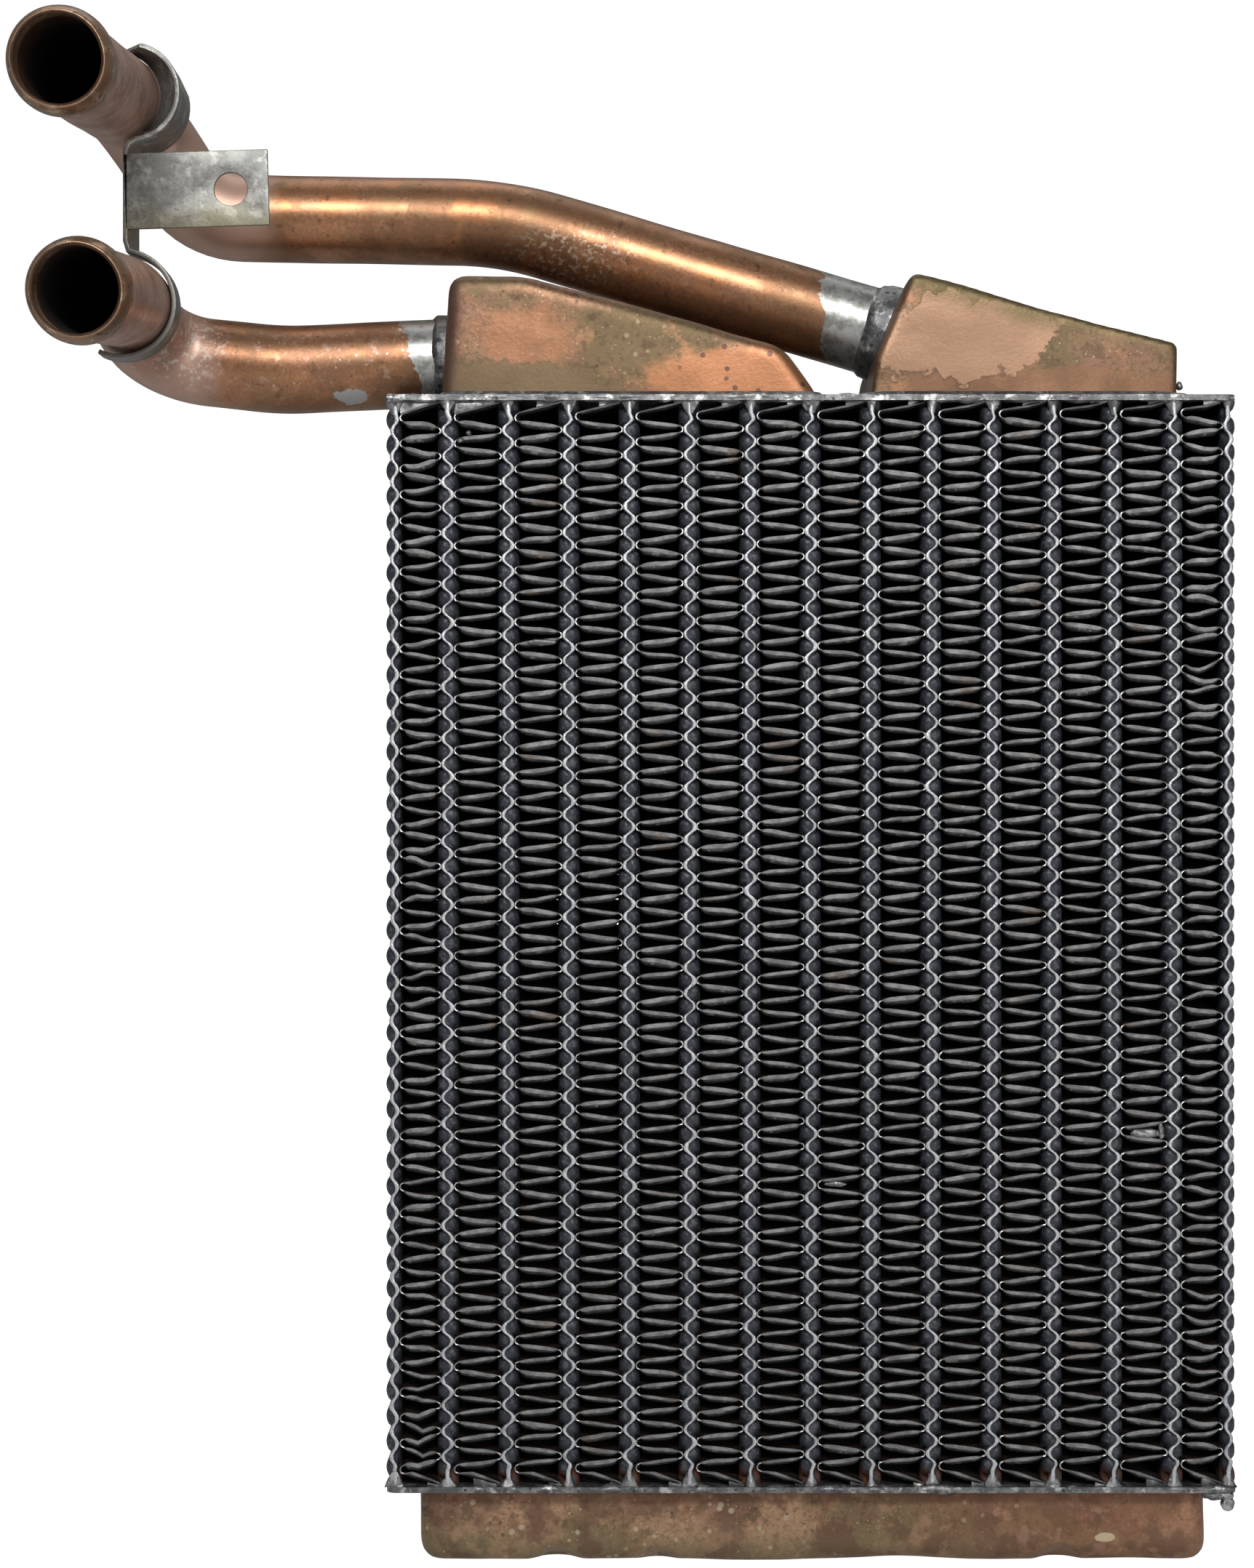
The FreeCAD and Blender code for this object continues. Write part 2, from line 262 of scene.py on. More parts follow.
def finished(piece: Piece, material: Material, slot: str,
             *nodes: str) -> Piece:
    """Clip a piece to the CAD model's bounds, dress it, hide the CAD nodes that it replaces and tie
    it to its body.

    Args:
        piece: the piece.
        material: its finish.
        slot: not used.
        nodes: CAD nodes that it replaces.

    Returns:
        The piece.
    """
    low, high = (np.array(corner) for corner in CAD_BOX)
    set_vertices(piece, np.clip(vertex_array(piece), low, high))
    dress(piece, material)
    if nodes:
        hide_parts(*nodes)
    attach(piece, BODY)
    LOG.info("%s: %d faces", piece.name, len(piece.data.polygons))
    return piece


# ---------------------------------------------------------------- shader helpers


@dataclass
class Graph:
    """A node tree that is wired by name."""

    tree: bpy.types.NodeTree

    def vector(self, operation: str, *values: Value) -> bpy.types.Node:
        """A vector sum on points or sockets."""
        return self.node("ShaderNodeVectorMath", dict(enumerate(values)), operation=operation)

    def node(self, kind: str, inputs: dict | None = None, **settings: object) -> bpy.types.Node:
        """Add a node.

        Args:
            kind: the node's type.
            inputs: values or sockets for its inputs, by name or number.
            settings: the node's own settings.

        Returns:
            The node.
        """
        made = self.tree.nodes.new(kind)
        for name, value in settings.items():
            setattr(made, name, value)
        for key, value in (inputs or {}).items():
            if isinstance(value, Socket):
                self.tree.links.new(value, made.inputs[key])
            else:
                made.inputs[key].default_value = value
        return made

    def math(self, operation: str, first: Value, second: Value = 0.0) -> Socket:
        """A sum on two numbers or sockets."""
        return self.node("ShaderNodeMath", {0: first, 1: second}, operation=operation).outputs[0]

    def ramp(self, value: Value, low: Value, high: Value) -> Socket:
        """A smooth step from 0 at low to 1 at high."""
        inputs = {"Value": value, "From Min": low, "From Max": high}
        return self.node("ShaderNodeMapRange", inputs, interpolation_type="SMOOTHSTEP").outputs[0]

    def blend(self, factor: Value, first: Value, second: Value) -> Socket:
        """Mix two colours."""
        return self.node("ShaderNodeMix", {0: factor, 6: first, 7: second},
                         data_type="RGBA").outputs[2]

    def blend_numbers(self, factor: Value, first: Value, second: Value) -> Socket:
        """Mix two numbers."""
        return self.node("ShaderNodeMix", {0: factor, 2: first, 3: second},
                         data_type="FLOAT").outputs[0]

    def noise(self, vector: Value, scale: Value, detail: Value = 4.0,
              roughness: float = 0.6) -> Socket:
        """A noise value between 0 and 1."""
        inputs = {"Vector": vector, "Scale": scale, "Detail": detail, "Roughness": roughness}
        return self.node("ShaderNodeTexNoise", inputs).outputs[0]


def rgba(colour: Colour) -> tuple[float, float, float, float]:
    """A colour with full alpha."""
    return (*colour, 1.0)


def new_group(name: str, inputs: dict[str, object], outputs: tuple[str, ...]) -> tuple[Graph, dict]:
    """Start a shader node group.

    Args:
        name: the group's name.
        inputs: default value of each input; a 3-tuple makes a vector input.
        outputs: names of the number outputs.

    Returns:
        Its graph, and its input sockets by name.
    """
    tree = bpy.data.node_groups.new(name, "ShaderNodeTree")
    for label, value in inputs.items():
        kind = "NodeSocketVector" if isinstance(value, tuple) else "NodeSocketFloat"
        socket = tree.interface.new_socket(name=label, in_out="INPUT", socket_type=kind)
        socket.default_value = value
    for label in outputs:
        tree.interface.new_socket(name=label, in_out="OUTPUT", socket_type="NodeSocketFloat")
    graph = Graph(tree)
    entry = graph.node("NodeGroupInput")
    return graph, {label: entry.outputs[label] for label in inputs}


def close_group(graph: Graph, results: dict[str, Socket]) -> bpy.types.NodeTree:
    """Wire a group's results to its outputs and return its tree."""
    graph.node("NodeGroupOutput", results)
    return graph.tree


def blotch_group() -> bpy.types.NodeTree:
    """Cloudy stains: 1 where the noise passes a level."""
    defaults = {"Vector": (0.0, 0.0, 0.0), "Scale": 0.1, "Level": 0.5, "Softness": 0.1,
                "Detail": 5.0}
    graph, socket = new_group("cloudy_stain", defaults, ("Mask",))
    cloud = graph.noise(socket["Vector"], socket["Scale"], socket["Detail"], 0.62)
    low = graph.math("SUBTRACT", socket["Level"], socket["Softness"])
    high = graph.math("ADD", socket["Level"], socket["Softness"])
    return close_group(graph, {"Mask": graph.ramp(cloud, low, high)})


def speck_group() -> bpy.types.NodeTree:
    """Small round spots of uneven size, on a share of the cells."""
    defaults = {"Vector": (0.0, 0.0, 0.0), "Scale": 1.0, "Size": 0.3, "Share": 0.5}
    graph, socket = new_group("round_specks", defaults, ("Mask",))
    inputs = {"Vector": socket["Vector"], "Scale": socket["Scale"]}
    cells = graph.node("ShaderNodeTexVoronoi", inputs)
    chance = graph.node("ShaderNodeSeparateColor", {0: cells.outputs["Color"]})
    radius = graph.math("MULTIPLY", socket["Size"], graph.math("ADD", chance.outputs[1], 0.35))
    inner = graph.math("MULTIPLY", radius, 0.55)
    spot = graph.ramp(cells.outputs["Distance"], radius, inner)
    kept = graph.math("LESS_THAN", chance.outputs[0], socket["Share"])
    return close_group(graph, {"Mask": graph.math("MULTIPLY", spot, kept)})


def zone_group() -> bpy.types.NodeTree:
    """A ragged patch around a point: 1 inside, 0 outside."""
    defaults = {"Vector": (0.0, 0.0, 0.0), "Centre": (0.0, 0.0, 0.0), "Size": (1.0, 1.0, 1.0),
                "Edge": 0.1, "Rag": 0.3, "Rag Scale": 0.3}
    graph, socket = new_group("ragged_patch", defaults, ("Mask",))
    away = graph.vector("SUBTRACT", socket["Vector"], socket["Centre"])
    scaled = graph.vector("DIVIDE", away.outputs[0], socket["Size"])
    reach = graph.vector("LENGTH", scaled.outputs[0])
    wobble = graph.math("SUBTRACT", graph.noise(socket["Vector"], socket["Rag Scale"]), 0.5)
    edge = graph.math("ADD", reach.outputs["Value"], graph.math("MULTIPLY", wobble, socket["Rag"]))
    outer = graph.math("ADD", 1.0, socket["Edge"])
    inner = graph.math("SUBTRACT", 1.0, socket["Edge"])
    return close_group(graph, {"Mask": graph.ramp(edge, outer, inner)})


def slab_group() -> bpy.types.NodeTree:
    """Everything past a ragged plane: 0 before Start, 1 past End, along Axis."""
    defaults = {"Vector": (0.0, 0.0, 0.0), "Axis": (0.0, 0.0, 1.0), "Start": 0.0, "End": 1.0,
                "Rag": 0.0, "Rag Scale": 0.2}
    graph, socket = new_group("ragged_border", defaults, ("Mask",))
    along = graph.vector("DOT_PRODUCT", socket["Vector"], socket["Axis"])
    wobble = graph.math("SUBTRACT", graph.noise(socket["Vector"], socket["Rag Scale"]), 0.5)
    place = graph.math("ADD", along.outputs["Value"], graph.math("MULTIPLY", wobble, socket["Rag"]))
    return close_group(graph, {"Mask": graph.ramp(place, socket["Start"], socket["End"])})


def depth_group() -> bpy.types.NodeTree:
    """How deep a place lies below the nearer open face: 0 before Start, 1 past End."""
    defaults = {"Vector": (0.0, 0.0, 0.0), "Half Depth": 1.0, "Start": 0.0, "End": 1.0}
    graph, socket = new_group("depth_below_face", defaults, ("Mask",))
    axes = graph.node("ShaderNodeSeparateXYZ", {0: socket["Vector"]})
    depth = graph.math("SUBTRACT", socket["Half Depth"], graph.math("ABSOLUTE", axes.outputs[1]))
    return close_group(graph, {"Mask": graph.ramp(depth, socket["Start"], socket["End"])})


def grain_group() -> bpy.types.NodeTree:
    """Fine unevenness of worked metal, for height and roughness."""
    defaults = {"Vector": (0.0, 0.0, 0.0), "Scale": 1.0, "Waves": 0.05}
    graph, socket = new_group("metal_grain", defaults, ("Height", "Wear"))
    fine = graph.noise(socket["Vector"], socket["Scale"], 6.0, 0.7)
    broad = graph.noise(socket["Vector"], socket["Waves"], 2.0, 0.5)
    height = graph.math("ADD", graph.math("MULTIPLY", fine, 0.45), broad)
    return close_group(graph, {"Height": height, "Wear": fine})


@dataclass(frozen=True)
class Layer:
    """A colour laid over a finish where its mask is 1.

    Attributes:
        colour: the layer's colour.
        strength: how much it covers.
        rough: its roughness, or None to keep what is below.
        metallic: how metallic it is, or None to keep what is below.
        within: another layer whose mask limits this one.
        GROUP: the mask's node group.
        INPUTS: the group's inputs, and the fields that they take.
    """

    GROUP: ClassVar[str] = ""
    INPUTS: ClassVar[dict[str, str]] = {}
    colour: Colour = (0.5, 0.5, 0.5)
    strength: float = 1.0
    rough: float | None = None
    metallic: float | None = None
    within: "Layer | None" = None

    def mask(self, graph: Graph, vector: Socket) -> Socket:
        """The layer's mask in a material.

        Args:
            graph: the material's graph.
            vector: the place on the piece in millimetres.

        Returns:
            The mask's socket.
        """
        place = graph.node("ShaderNodeGroup", node_tree=bpy.data.node_groups[self.GROUP])
        graph.tree.links.new(vector, place.inputs["Vector"])
        for label, field_name in self.INPUTS.items():
            place.inputs[label].default_value = getattr(self, field_name)
        result = graph.math("MULTIPLY", place.outputs["Mask"], self.strength)
        if self.within:
            result = graph.math("MULTIPLY", result, self.within.mask(graph, vector))
        return result


@dataclass(frozen=True)
class Stain(Layer):
    """A cloudy stain."""

    GROUP = "cloudy_stain"
    INPUTS = {"Scale": "scale", "Level": "level", "Softness": "soft", "Detail": "detail"}
    scale: float = 0.1
    level: float = 0.5
    soft: float = 0.1
    detail: float = 5.0


@dataclass(frozen=True)
class Specks(Layer):
    """Small round spots."""

    GROUP = "round_specks"
    INPUTS = {"Scale": "scale", "Size": "size", "Share": "share"}
    scale: float = 1.0
    size: float = 0.3
    share: float = 0.5


@dataclass(frozen=True)
class Patch(Layer):
    """A ragged patch around a point."""

    GROUP = "ragged_patch"
    INPUTS = {"Centre": "centre", "Size": "size", "Edge": "edge", "Rag": "rag",
              "Rag Scale": "rag_scale"}
    centre: Point = (0.0, 0.0, 0.0)
    size: Point = (10.0, 10.0, 10.0)
    edge: float = 0.1
    rag: float = 0.5
    rag_scale: float = 0.3


@dataclass(frozen=True)
class Border(Layer):
    """Everything past a ragged plane."""

    GROUP = "ragged_border"
    INPUTS = {"Axis": "axis", "Start": "start", "End": "end", "Rag": "rag",
              "Rag Scale": "rag_scale"}
    axis: Point = (0.0, 0.0, 1.0)
    start: float = 0.0
    end: float = 1.0
    rag: float = 0.0
    rag_scale: float = 0.2


@dataclass(frozen=True)
class Deep(Layer):
    """Everything deeper than a few millimetres below the core's open faces; the core's finishes
    paint shade and highlights by this depth.
    """

    GROUP = "depth_below_face"
    INPUTS = {"Half Depth": "half_depth", "Start": "start", "End": "end"}
    start: float = 0.5
    end: float = 1.0
    half_depth: float = CORE_HALF_DEPTH


@dataclass(frozen=True)
class Finish:
    """A metal finish: a base under layers, with grain.

    Attributes:
        name: the material's name.
        base: colour under all layers.
        metallic: how metallic the surface is.
        rough: base roughness.
        layers: what lies over the base, lowest first.
        grain: scale of the fine grain, per millimetre.
        bump: strength of the relief.
        vary: how much the grain changes the roughness.
        stretch: scale of the grain along each axis.
        waves: how much broader the slow waves are than the grain.
        wear: grain values at which the base is darkest and lightest.
        shades: how dark and how light the base gets there.
        relief: height of the relief in millimetres.
        specular: strength of the plain reflection.
    """

    name: str
    base: Colour
    metallic: float = 0.8
    rough: float = 0.45
    layers: tuple[Layer, ...] = ()
    grain: float = 2.0
    bump: float = 0.15
    vary: float = 0.2
    stretch: Point = (1.0, 1.0, 1.0)
    waves: float = 12.0
    wear: Pair = (0.25, 0.75)
    shades: Pair = (0.72, 1.22)
    relief: float = 0.4
    specular: float = 0.3

    def build(self) -> Material:
        """Make the material.

        Returns:
            The material.
        """
        material = bpy.data.materials.new(self.name)
        material.use_nodes = True
        material.node_tree.nodes.clear()
        graph = Graph(material.node_tree)
        place = graph.node("ShaderNodeTexCoord").outputs["Object"]
        scale = tuple(1.0 / MM for _ in range(3))
        vector = graph.node("ShaderNodeMapping", {"Vector": place, "Scale": scale}).outputs[0]
        stretched = graph.node("ShaderNodeMapping", {"Vector": vector,
                                                     "Scale": self.stretch}).outputs[0]
        grain = graph.node("ShaderNodeGroup", node_tree=bpy.data.node_groups["metal_grain"])
        graph.tree.links.new(stretched, grain.inputs["Vector"])
        grain.inputs["Scale"].default_value = self.grain
        grain.inputs["Waves"].default_value = self.grain / self.waves
        shade = graph.ramp(grain.outputs["Wear"], *self.wear)
        darker, lighter = (tuple(channel * share for channel in self.base) for share in self.shades)
        colour = graph.blend(shade, rgba(darker), rgba(lighter))
        swing = graph.math("MULTIPLY", graph.math("SUBTRACT", grain.outputs["Wear"], 0.5),
                           self.vary)
        rough = graph.math("ADD", swing, self.rough)
        metallic: Socket | float = self.metallic
        for layer in self.layers:
            mask = layer.mask(graph, vector)
            colour = graph.blend(mask, colour, rgba(layer.colour))
            if layer.rough is not None:
                rough = graph.blend_numbers(mask, rough, layer.rough)
            if layer.metallic is not None:
                metallic = graph.blend_numbers(mask, metallic, layer.metallic)
        bump = graph.node("ShaderNodeBump", {
            "Height": grain.outputs["Height"], "Strength": self.bump, "Distance": self.relief * MM})
        shader = graph.node("ShaderNodeBsdfPrincipled", {
            "Base Color": colour, "Roughness": rough, "Metallic": metallic,
            "Normal": bump.outputs[0],
            "Specular IOR Level": self.specular})
        graph.node("ShaderNodeOutputMaterial", {"Surface": shader.outputs[0]})
        return material


# ---------------------------------------------------------------- the core


@dataclass
class Ribbon:
    """A soldered seam between two pressed ribbons, with its pockets, seen at one tube.

    Attributes:
        pitch: height of one zigzag.
        first_peak: height of the lowest right-hand peak at the middle tube.
        drift: how much higher the peaks stand at the last tube than at the first.
        swing: reach of the zigzag to each side.
        lip_half: half the lip's thickness.
        lip_depth: how far the lip stands proud of the pockets.
        wall: distance from the seam to the flat side wall.
        pocket: half width, half height and depth of the ball in a pocket.
        rows_per_pitch: rows of the mesh in one zigzag.
        shoulder_steps: rows of the mesh across a pocket.
        sharpness: how square the zigzag's turns are.
        straight: how far the lip runs straight at its foot and at its head.
        easing: height over which the zigzag dies out there.
        wander: reach, length and spacing of the lip's slow wander.
        uneven: share, length and spacing of the changes in the lip's thickness.
        lip_edge: share of the lip's half that is flat, and how far its edge falls.
        gap: least distance from the lip to a wall.
        tuck: how far a pocket's ball reaches into the wall.
        overlap: how far the wall starts below the ball.
    """

    pitch: float = 5.38
    first_peak: float = 21.2
    drift: float = 0.93
    swing: float = 1.0
    lip_half: float = 0.41
    lip_depth: float = 0.8
    wall: float = 2.3
    pocket: Point = (2.05, 2.3, 2.2)
    rows_per_pitch: int = 8
    shoulder_steps: int = 4
    sharpness: float = 0.9
    straight: Pair = (3.4, 2.6)
    easing: float = 2.0
    wander: Point = (0.28, 7.0, 3.1)
    uneven: Point = (0.35, 4.0, 1.9)
    lip_edge: Pair = (0.45, 0.15)
    gap: float = 0.06
    tuck: float = 0.25
    overlap: float = 0.2

    def peak(self, tube: float) -> float:
        """Height of the lowest right-hand peak at a tube, counted from 0."""
        middle = (TUBE_COUNT - 1) / 2
        return self.first_peak + self.drift * (tube - middle) / (TUBE_COUNT - 1)

    def heights(self) -> np.ndarray:
        """Heights of the mesh's rows."""
        count = round((UPPER_PLATE_UNDERSIDE - LOWER_PLATE_TOP) / self.pitch * self.rows_per_pitch)
        return np.linspace(LOWER_PLATE_TOP, UPPER_PLATE_UNDERSIDE, count + 1)

    def line(self, z: np.ndarray, tube: float, swing: float) -> np.ndarray:
        """Sideways place of the lip at each height.

        It is a zigzag with rounded peaks, straight at both ends.
        """
        foot, head = self.straight
        reach, length, spacing = self.wander
        turn = np.cos((z - self.peak(tube)) / self.pitch * 2 * math.pi)
        rounded = np.tanh(self.sharpness * turn) / math.tanh(self.sharpness)
        points = [Vector((tube * spacing, 0.0, height / length)) for height in z]
        wobble = np.array([noise.noise(point) for point in points])
        ends = np.clip((z - LOWER_PLATE_TOP - foot) / self.easing, 0, 1)
        ends = ends * np.clip((UPPER_PLATE_UNDERSIDE - head - z) / self.easing, 0, 1)
        return rounded * swing * ends + wobble * reach

    def off_centre(self, z: np.ndarray, tube: float, side: int) -> np.ndarray:
        """Height of each row above the middle of the nearest pocket on one side."""
        phase = (z - self.peak(tube)) / self.pitch + (0.5 if side > 0 else 0.0)
        return (phase - np.round(phase)) * self.pitch

    def wall_line(self, z: np.ndarray, line: np.ndarray, tube: float, side: int, wall: float,
                  scallop: float) -> np.ndarray:
        """Place of the wall at each height: flat, or scalloped around the pockets."""
        off = self.off_centre(z, tube, side) / self.pocket[1]
        reach = wall - scallop * (1 - np.sqrt(np.clip(1 - off ** 2, 0, 1)))
        return side * np.maximum(reach, side * line + self.lip_half + self.gap)

    def shoulder(self, z: np.ndarray, line: np.ndarray, tube: float, side: int, wall: float,
                 outer: np.ndarray) -> list:
        """Places across a pocket, from the lip to the side wall, as (x, depth) arrays."""
        half_width, half_height, fall = self.pocket
        off_centre = self.off_centre(z, tube, side)
        centre = side * (wall - half_width + self.tuck)
        places = []
        inner = line + side * self.lip_half
        for step in range(1, self.shoulder_steps + 1):
            share = step / (self.shoulder_steps + 1)
            x = inner + (outer - inner) * share
            reach = ((x - centre) / half_width) ** 2 + (off_centre / half_height) ** 2
            depth = self.lip_depth + fall * (1 - np.sqrt(np.clip(1 - reach, 0, 1)))
            places.append((x, depth))
        return places

    def half_section(self, z: np.ndarray, tube: float, swing: float, walls: dict[int, float],
                     scallops: dict[int, float]) -> list:
        """The section of one open face, from the right wall over the lip to the left wall.

        Args:
            z: heights of the rows.
            tube: the tube's number, counted from 0.
            swing: reach of the zigzag.
            walls: distance from the seam to the wall on each side.
            scallops: how far each wall draws in between its pockets.

        Returns:
            A list of (x, depth) arrays.
        """
        line = self.line(z, tube, swing)
        change, length, spacing = self.uneven
        points = [Vector((height / length, tube * spacing, LIP_NOISE)) for height in z]
        thick = np.array([noise.noise(point) for point in points])
        half = self.lip_half * (1 + change * thick)
        flat_share, edge_fall = self.lip_edge
        flat = np.zeros_like(z)
        section = []
        for side in (1, -1):
            run = [(line + side * half * flat_share, flat), (line + side * half, flat + edge_fall),
                   (line + side * half, flat + self.lip_depth)]
            outer = self.wall_line(z, line, tube, side, walls[side], scallops[side])
            run += self.shoulder(z, line, tube, side, walls[side], outer)
            run.append((outer, flat + self.lip_depth + self.pocket[2] + self.overlap))
            section += run[::-1] if side > 0 else run
        return section

    def build(self, name: str, centre: float, tube: float, swing: float, walls: dict[int, float],
              scallops: dict[int, float]) -> Piece:
        """Model a tube, or a side ribbon, as one closed shell.

        Args:
            name: the piece's name.
            centre: the seam's middle along X.
            tube: the tube's number, counted from 0.
            swing: reach of the zigzag.
            walls: distance from the seam to the wall on each side.
            scallops: how far each wall draws in between its pockets.

        Returns:
            The piece.
        """
        z = self.heights()
        section = self.half_section(z, tube, swing, walls, scallops)
        loop = [(x, -CORE_HALF_DEPTH + depth) for x, depth in section]
        loop += [(x, CORE_HALF_DEPTH - depth) for x, depth in section[::-1]]
        loop.append(loop[0])
        points = np.empty((len(z), len(loop), 3))
        for column, (x, y) in enumerate(loop):
            points[:, column, 0] = centre + x
            points[:, column, 1] = y
            points[:, column, 2] = z
        piece = formed_sheet(name, points)
        close_up(piece)
        smooth(piece, 50)
        return piece


@dataclass
class FoldedFin:
    """The folded foil between two ribbons.

    Attributes:
        foil: thickness of the foil, with its coat of tin.
        front_gap: how far the folds stand behind the lips.
        left_round: half widths of a left fold, near its tip and at its root.
        right_round: the same at a right fold.
        root: distance from a fold's tip to its root.
        bead_rows: depth and fall of the rows that make the pressed bead along a web.
        blind_rows: depths of the rows behind the bead.
        sweep: how far the webs swing up and down on their way through the core.
        calm: distance from the header plates over which that swing grows.
        root_fall: share of the bead's fall at a fold's root.
        tip_back: distance from a fold's tip to the points beside it.
        jitter: spread of the tips' heights.
        first_web: distance from the right tips, rise and fall of the lowest web's points.
        last_web: distance from the right tips, drop and fall of the highest web's points.
        web_points: place along a web and share of the fall of each of its points.
        bends: spread of a web's bow and wave.
        outer_bends: the same in the first and the last column.
        press: least and greatest strength of the bead.
        crushed_below: height below which the first column's webs are crushed.
        crushed: least and greatest crush, and the height over which it grows.
        dent: greatest depth, place along the web and reach of a crush.
        knocked: heights between which the last column was knocked, and the shift and its spread.
        sagging: height below which the last column sags, and by how much.
    """

    ribbon: Ribbon
    foil: float = 0.24
    front_gap: float = 0.35
    left_round: Pair = (0.6, 0.95)
    right_round: Pair = (0.5, 0.78)
    root: float = 0.95
    bead_rows: tuple[Pair, ...] = (
        (0.0, 0.35), (0.15, -0.25), (0.35, -0.8), (0.7, -1.1), (2.4, -0.85), (4.6, 0.0))
    blind_rows: tuple[float, ...] = (9.8, 15.0, 20.0)
    sweep: float = 2.1
    calm: float = 8.0
    root_fall: float = 0.25
    tip_back: float = 0.25
    jitter: float = 0.07
    first_web: tuple[Point, ...] = ((0.3, 0.6, 0.0), (1.6, 1.15, 0.4), (3.6, 1.9, 0.8),
                                    (6.0, 2.7, 0.9))
    last_web: tuple[Point, ...] = ((3.5, 1.1, 0.5), (0.4, 0.4, 0.0))
    web_points: tuple[Pair, ...] = (
        (0.07, 0.72), (0.2, 0.95), (0.42, 1.0), (0.62, 1.0), (0.82, 0.95), (0.93, 0.7))
    bends: Pair = (0.1, 0.07)
    outer_bends: Pair = (0.26, 0.16)
    press: Pair = (0.75, 1.2)
    crushed_below: float = 45.0
    crushed: Point = (0.5, 1.5, 20.0)
    dent: Point = (1.3, 0.42, 0.3)
    knocked: tuple[float, float, float, float] = (180.0, 205.0, -0.5, 0.5)
    sagging: Point = (60.0, 0.2, 0.7)

    def path(self, left: float, right: float, column: int) -> np.ndarray:
        """The fold's line seen from the front.

        Args:
            left: where the left folds' tips stand.
            right: where the right folds' tips stand.
            column: the fin's number, counted from 0.

        Returns:
            Rows of x, z and the share of the bead's fall at each point.
        """
        chance = np.random.default_rng(FIN_SEED + column)
        low = (self.ribbon.peak(column - 1) + self.ribbon.peak(column)) / 2
        pitch = self.ribbon.pitch
        turns = int((UPPER_PLATE_UNDERSIDE - low) / pitch) + 1
        line = [(right - back, LOWER_PLATE_TOP + rise, fall) for back, rise, fall in self.first_web]
        for turn in range(turns):
            z = low + turn * pitch
            line += self.fold(left, z, 1, self.left_round, chance)
            if turn == turns - 1:
                break
            start = line[-1][:2]
            top = z + pitch / 2
            end = (right - self.root, top - self.right_round[1])
            line += self.web(start, end, column, chance)
            line += self.fold(right, top, -1, self.right_round, chance)
            start = line[-1][:2]
            end = (left + self.root, z + pitch - self.left_round[1])
            line += self.web(start, end, column, chance)
        line += [(right - back, UPPER_PLATE_UNDERSIDE - drop, fall) for back, drop,
                 fall in self.last_web]
        return np.array(line)

    def fold(self, tip_x: float, z: float, inward: int, widths: Pair,
             chance: np.random.Generator) -> list:
        """The points round one fold.

        Args:
            tip_x: where its tip stands.
            z: height of its middle.
            inward: 1 where the webs run to the right of it, -1 where they run to the left.
            widths: half widths near its tip and at its root.
            chance: the fin's random numbers.

        Returns:
            Rows of x, z and the share of the bead's fall.
        """
        near, broad = widths
        tip = z + chance.normal(0, self.jitter)
        root, back = tip_x + inward * self.root, tip_x + inward * self.tip_back
        return [(root, z - broad, self.root_fall), (back, tip - near, 0), (tip_x, tip, 0),
                (back, tip + near, 0), (root, z + broad, self.root_fall)]

    def web(self, start: Pair, end: Pair, column: int,
            chance: np.random.Generator) -> list:
        """The points between two folds.

        A web is nearly straight, a little bent, and buckled where the core was knocked.
        """
        bow, wave = (chance.normal(0, spread) for spread in
                     (self.outer_bends if column in (0, TUBE_COUNT) else self.bends))
        height = (start[1] + end[1]) / 2
        buckle = 0.0
        if column == 0 and height < self.crushed_below:
            least, most, growth = self.crushed
            buckle = chance.uniform(least, most) * (self.crushed_below - height) / growth
        low, high, shift, spread = self.knocked
        if column == TUBE_COUNT and low < height < high:
            bow += chance.normal(shift, spread)
        sags_below, least, most = self.sagging
        if column == TUBE_COUNT and height < sags_below:
            bow -= chance.uniform(least, most)
        press = chance.uniform(*self.press)
        deepest, place, reach = self.dent
        points = []
        for share, fall in self.web_points:
            x = start[0] + (end[0] - start[0]) * share
            z = start[1] + (end[1] - start[1]) * share
            z += bow * math.sin(math.pi * share) + wave * math.sin(2 * math.pi * share)
            z -= min(buckle, deepest) * max(0.0, 1 - abs(share - place) / reach)
            points.append((x, z, fall * press))
        return points

    def build(self, name: str, left: float, right: float, column: int) -> Piece:
        """Model one fin.

        Args:
            name: the piece's name.
            left: where the left folds' tips stand.
            right: where the right folds' tips stand.
            column: the fin's number, counted from 0.

        Returns:
            The piece.
        """
        path = self.path(left, right, column)
        rows = list(self.bead_rows) + [(depth, 0.0) for depth in self.blind_rows]
        half = CORE_HALF_DEPTH - self.front_gap
        depths = [(-half + depth, fall) for depth, fall in rows]
        depths += [(0.0, 0.0)] + [(half - depth, fall) for depth, fall in rows[::-1]]
        first = self.bead_rows[-1][0]
        span = 2 * (half - first)
        room = np.minimum(path[:, 1] - LOWER_PLATE_TOP, UPPER_PLATE_UNDERSIDE - path[:, 1])
        calm = np.clip(room / self.calm, 0, 1)
        points = np.empty((len(depths), len(path), 3))
        for row, (y, fall) in enumerate(depths):
            inside = min(max(y + half - first, 0.0), span)
            wave = self.sweep * math.sin(2 * math.pi * inside / span)
            points[row, :, 0] = path[:, 0]
            points[row, :, 1] = y
            points[row, :, 2] = path[:, 1] + path[:, 2] * fall + wave * calm
        piece = formed_sheet(name, points)
        apply_modifier(piece, "SOLIDIFY", thickness=self.foil * MM, offset=0.0,
                       use_even_offset=False)
        smooth(piece, 60)
        return piece


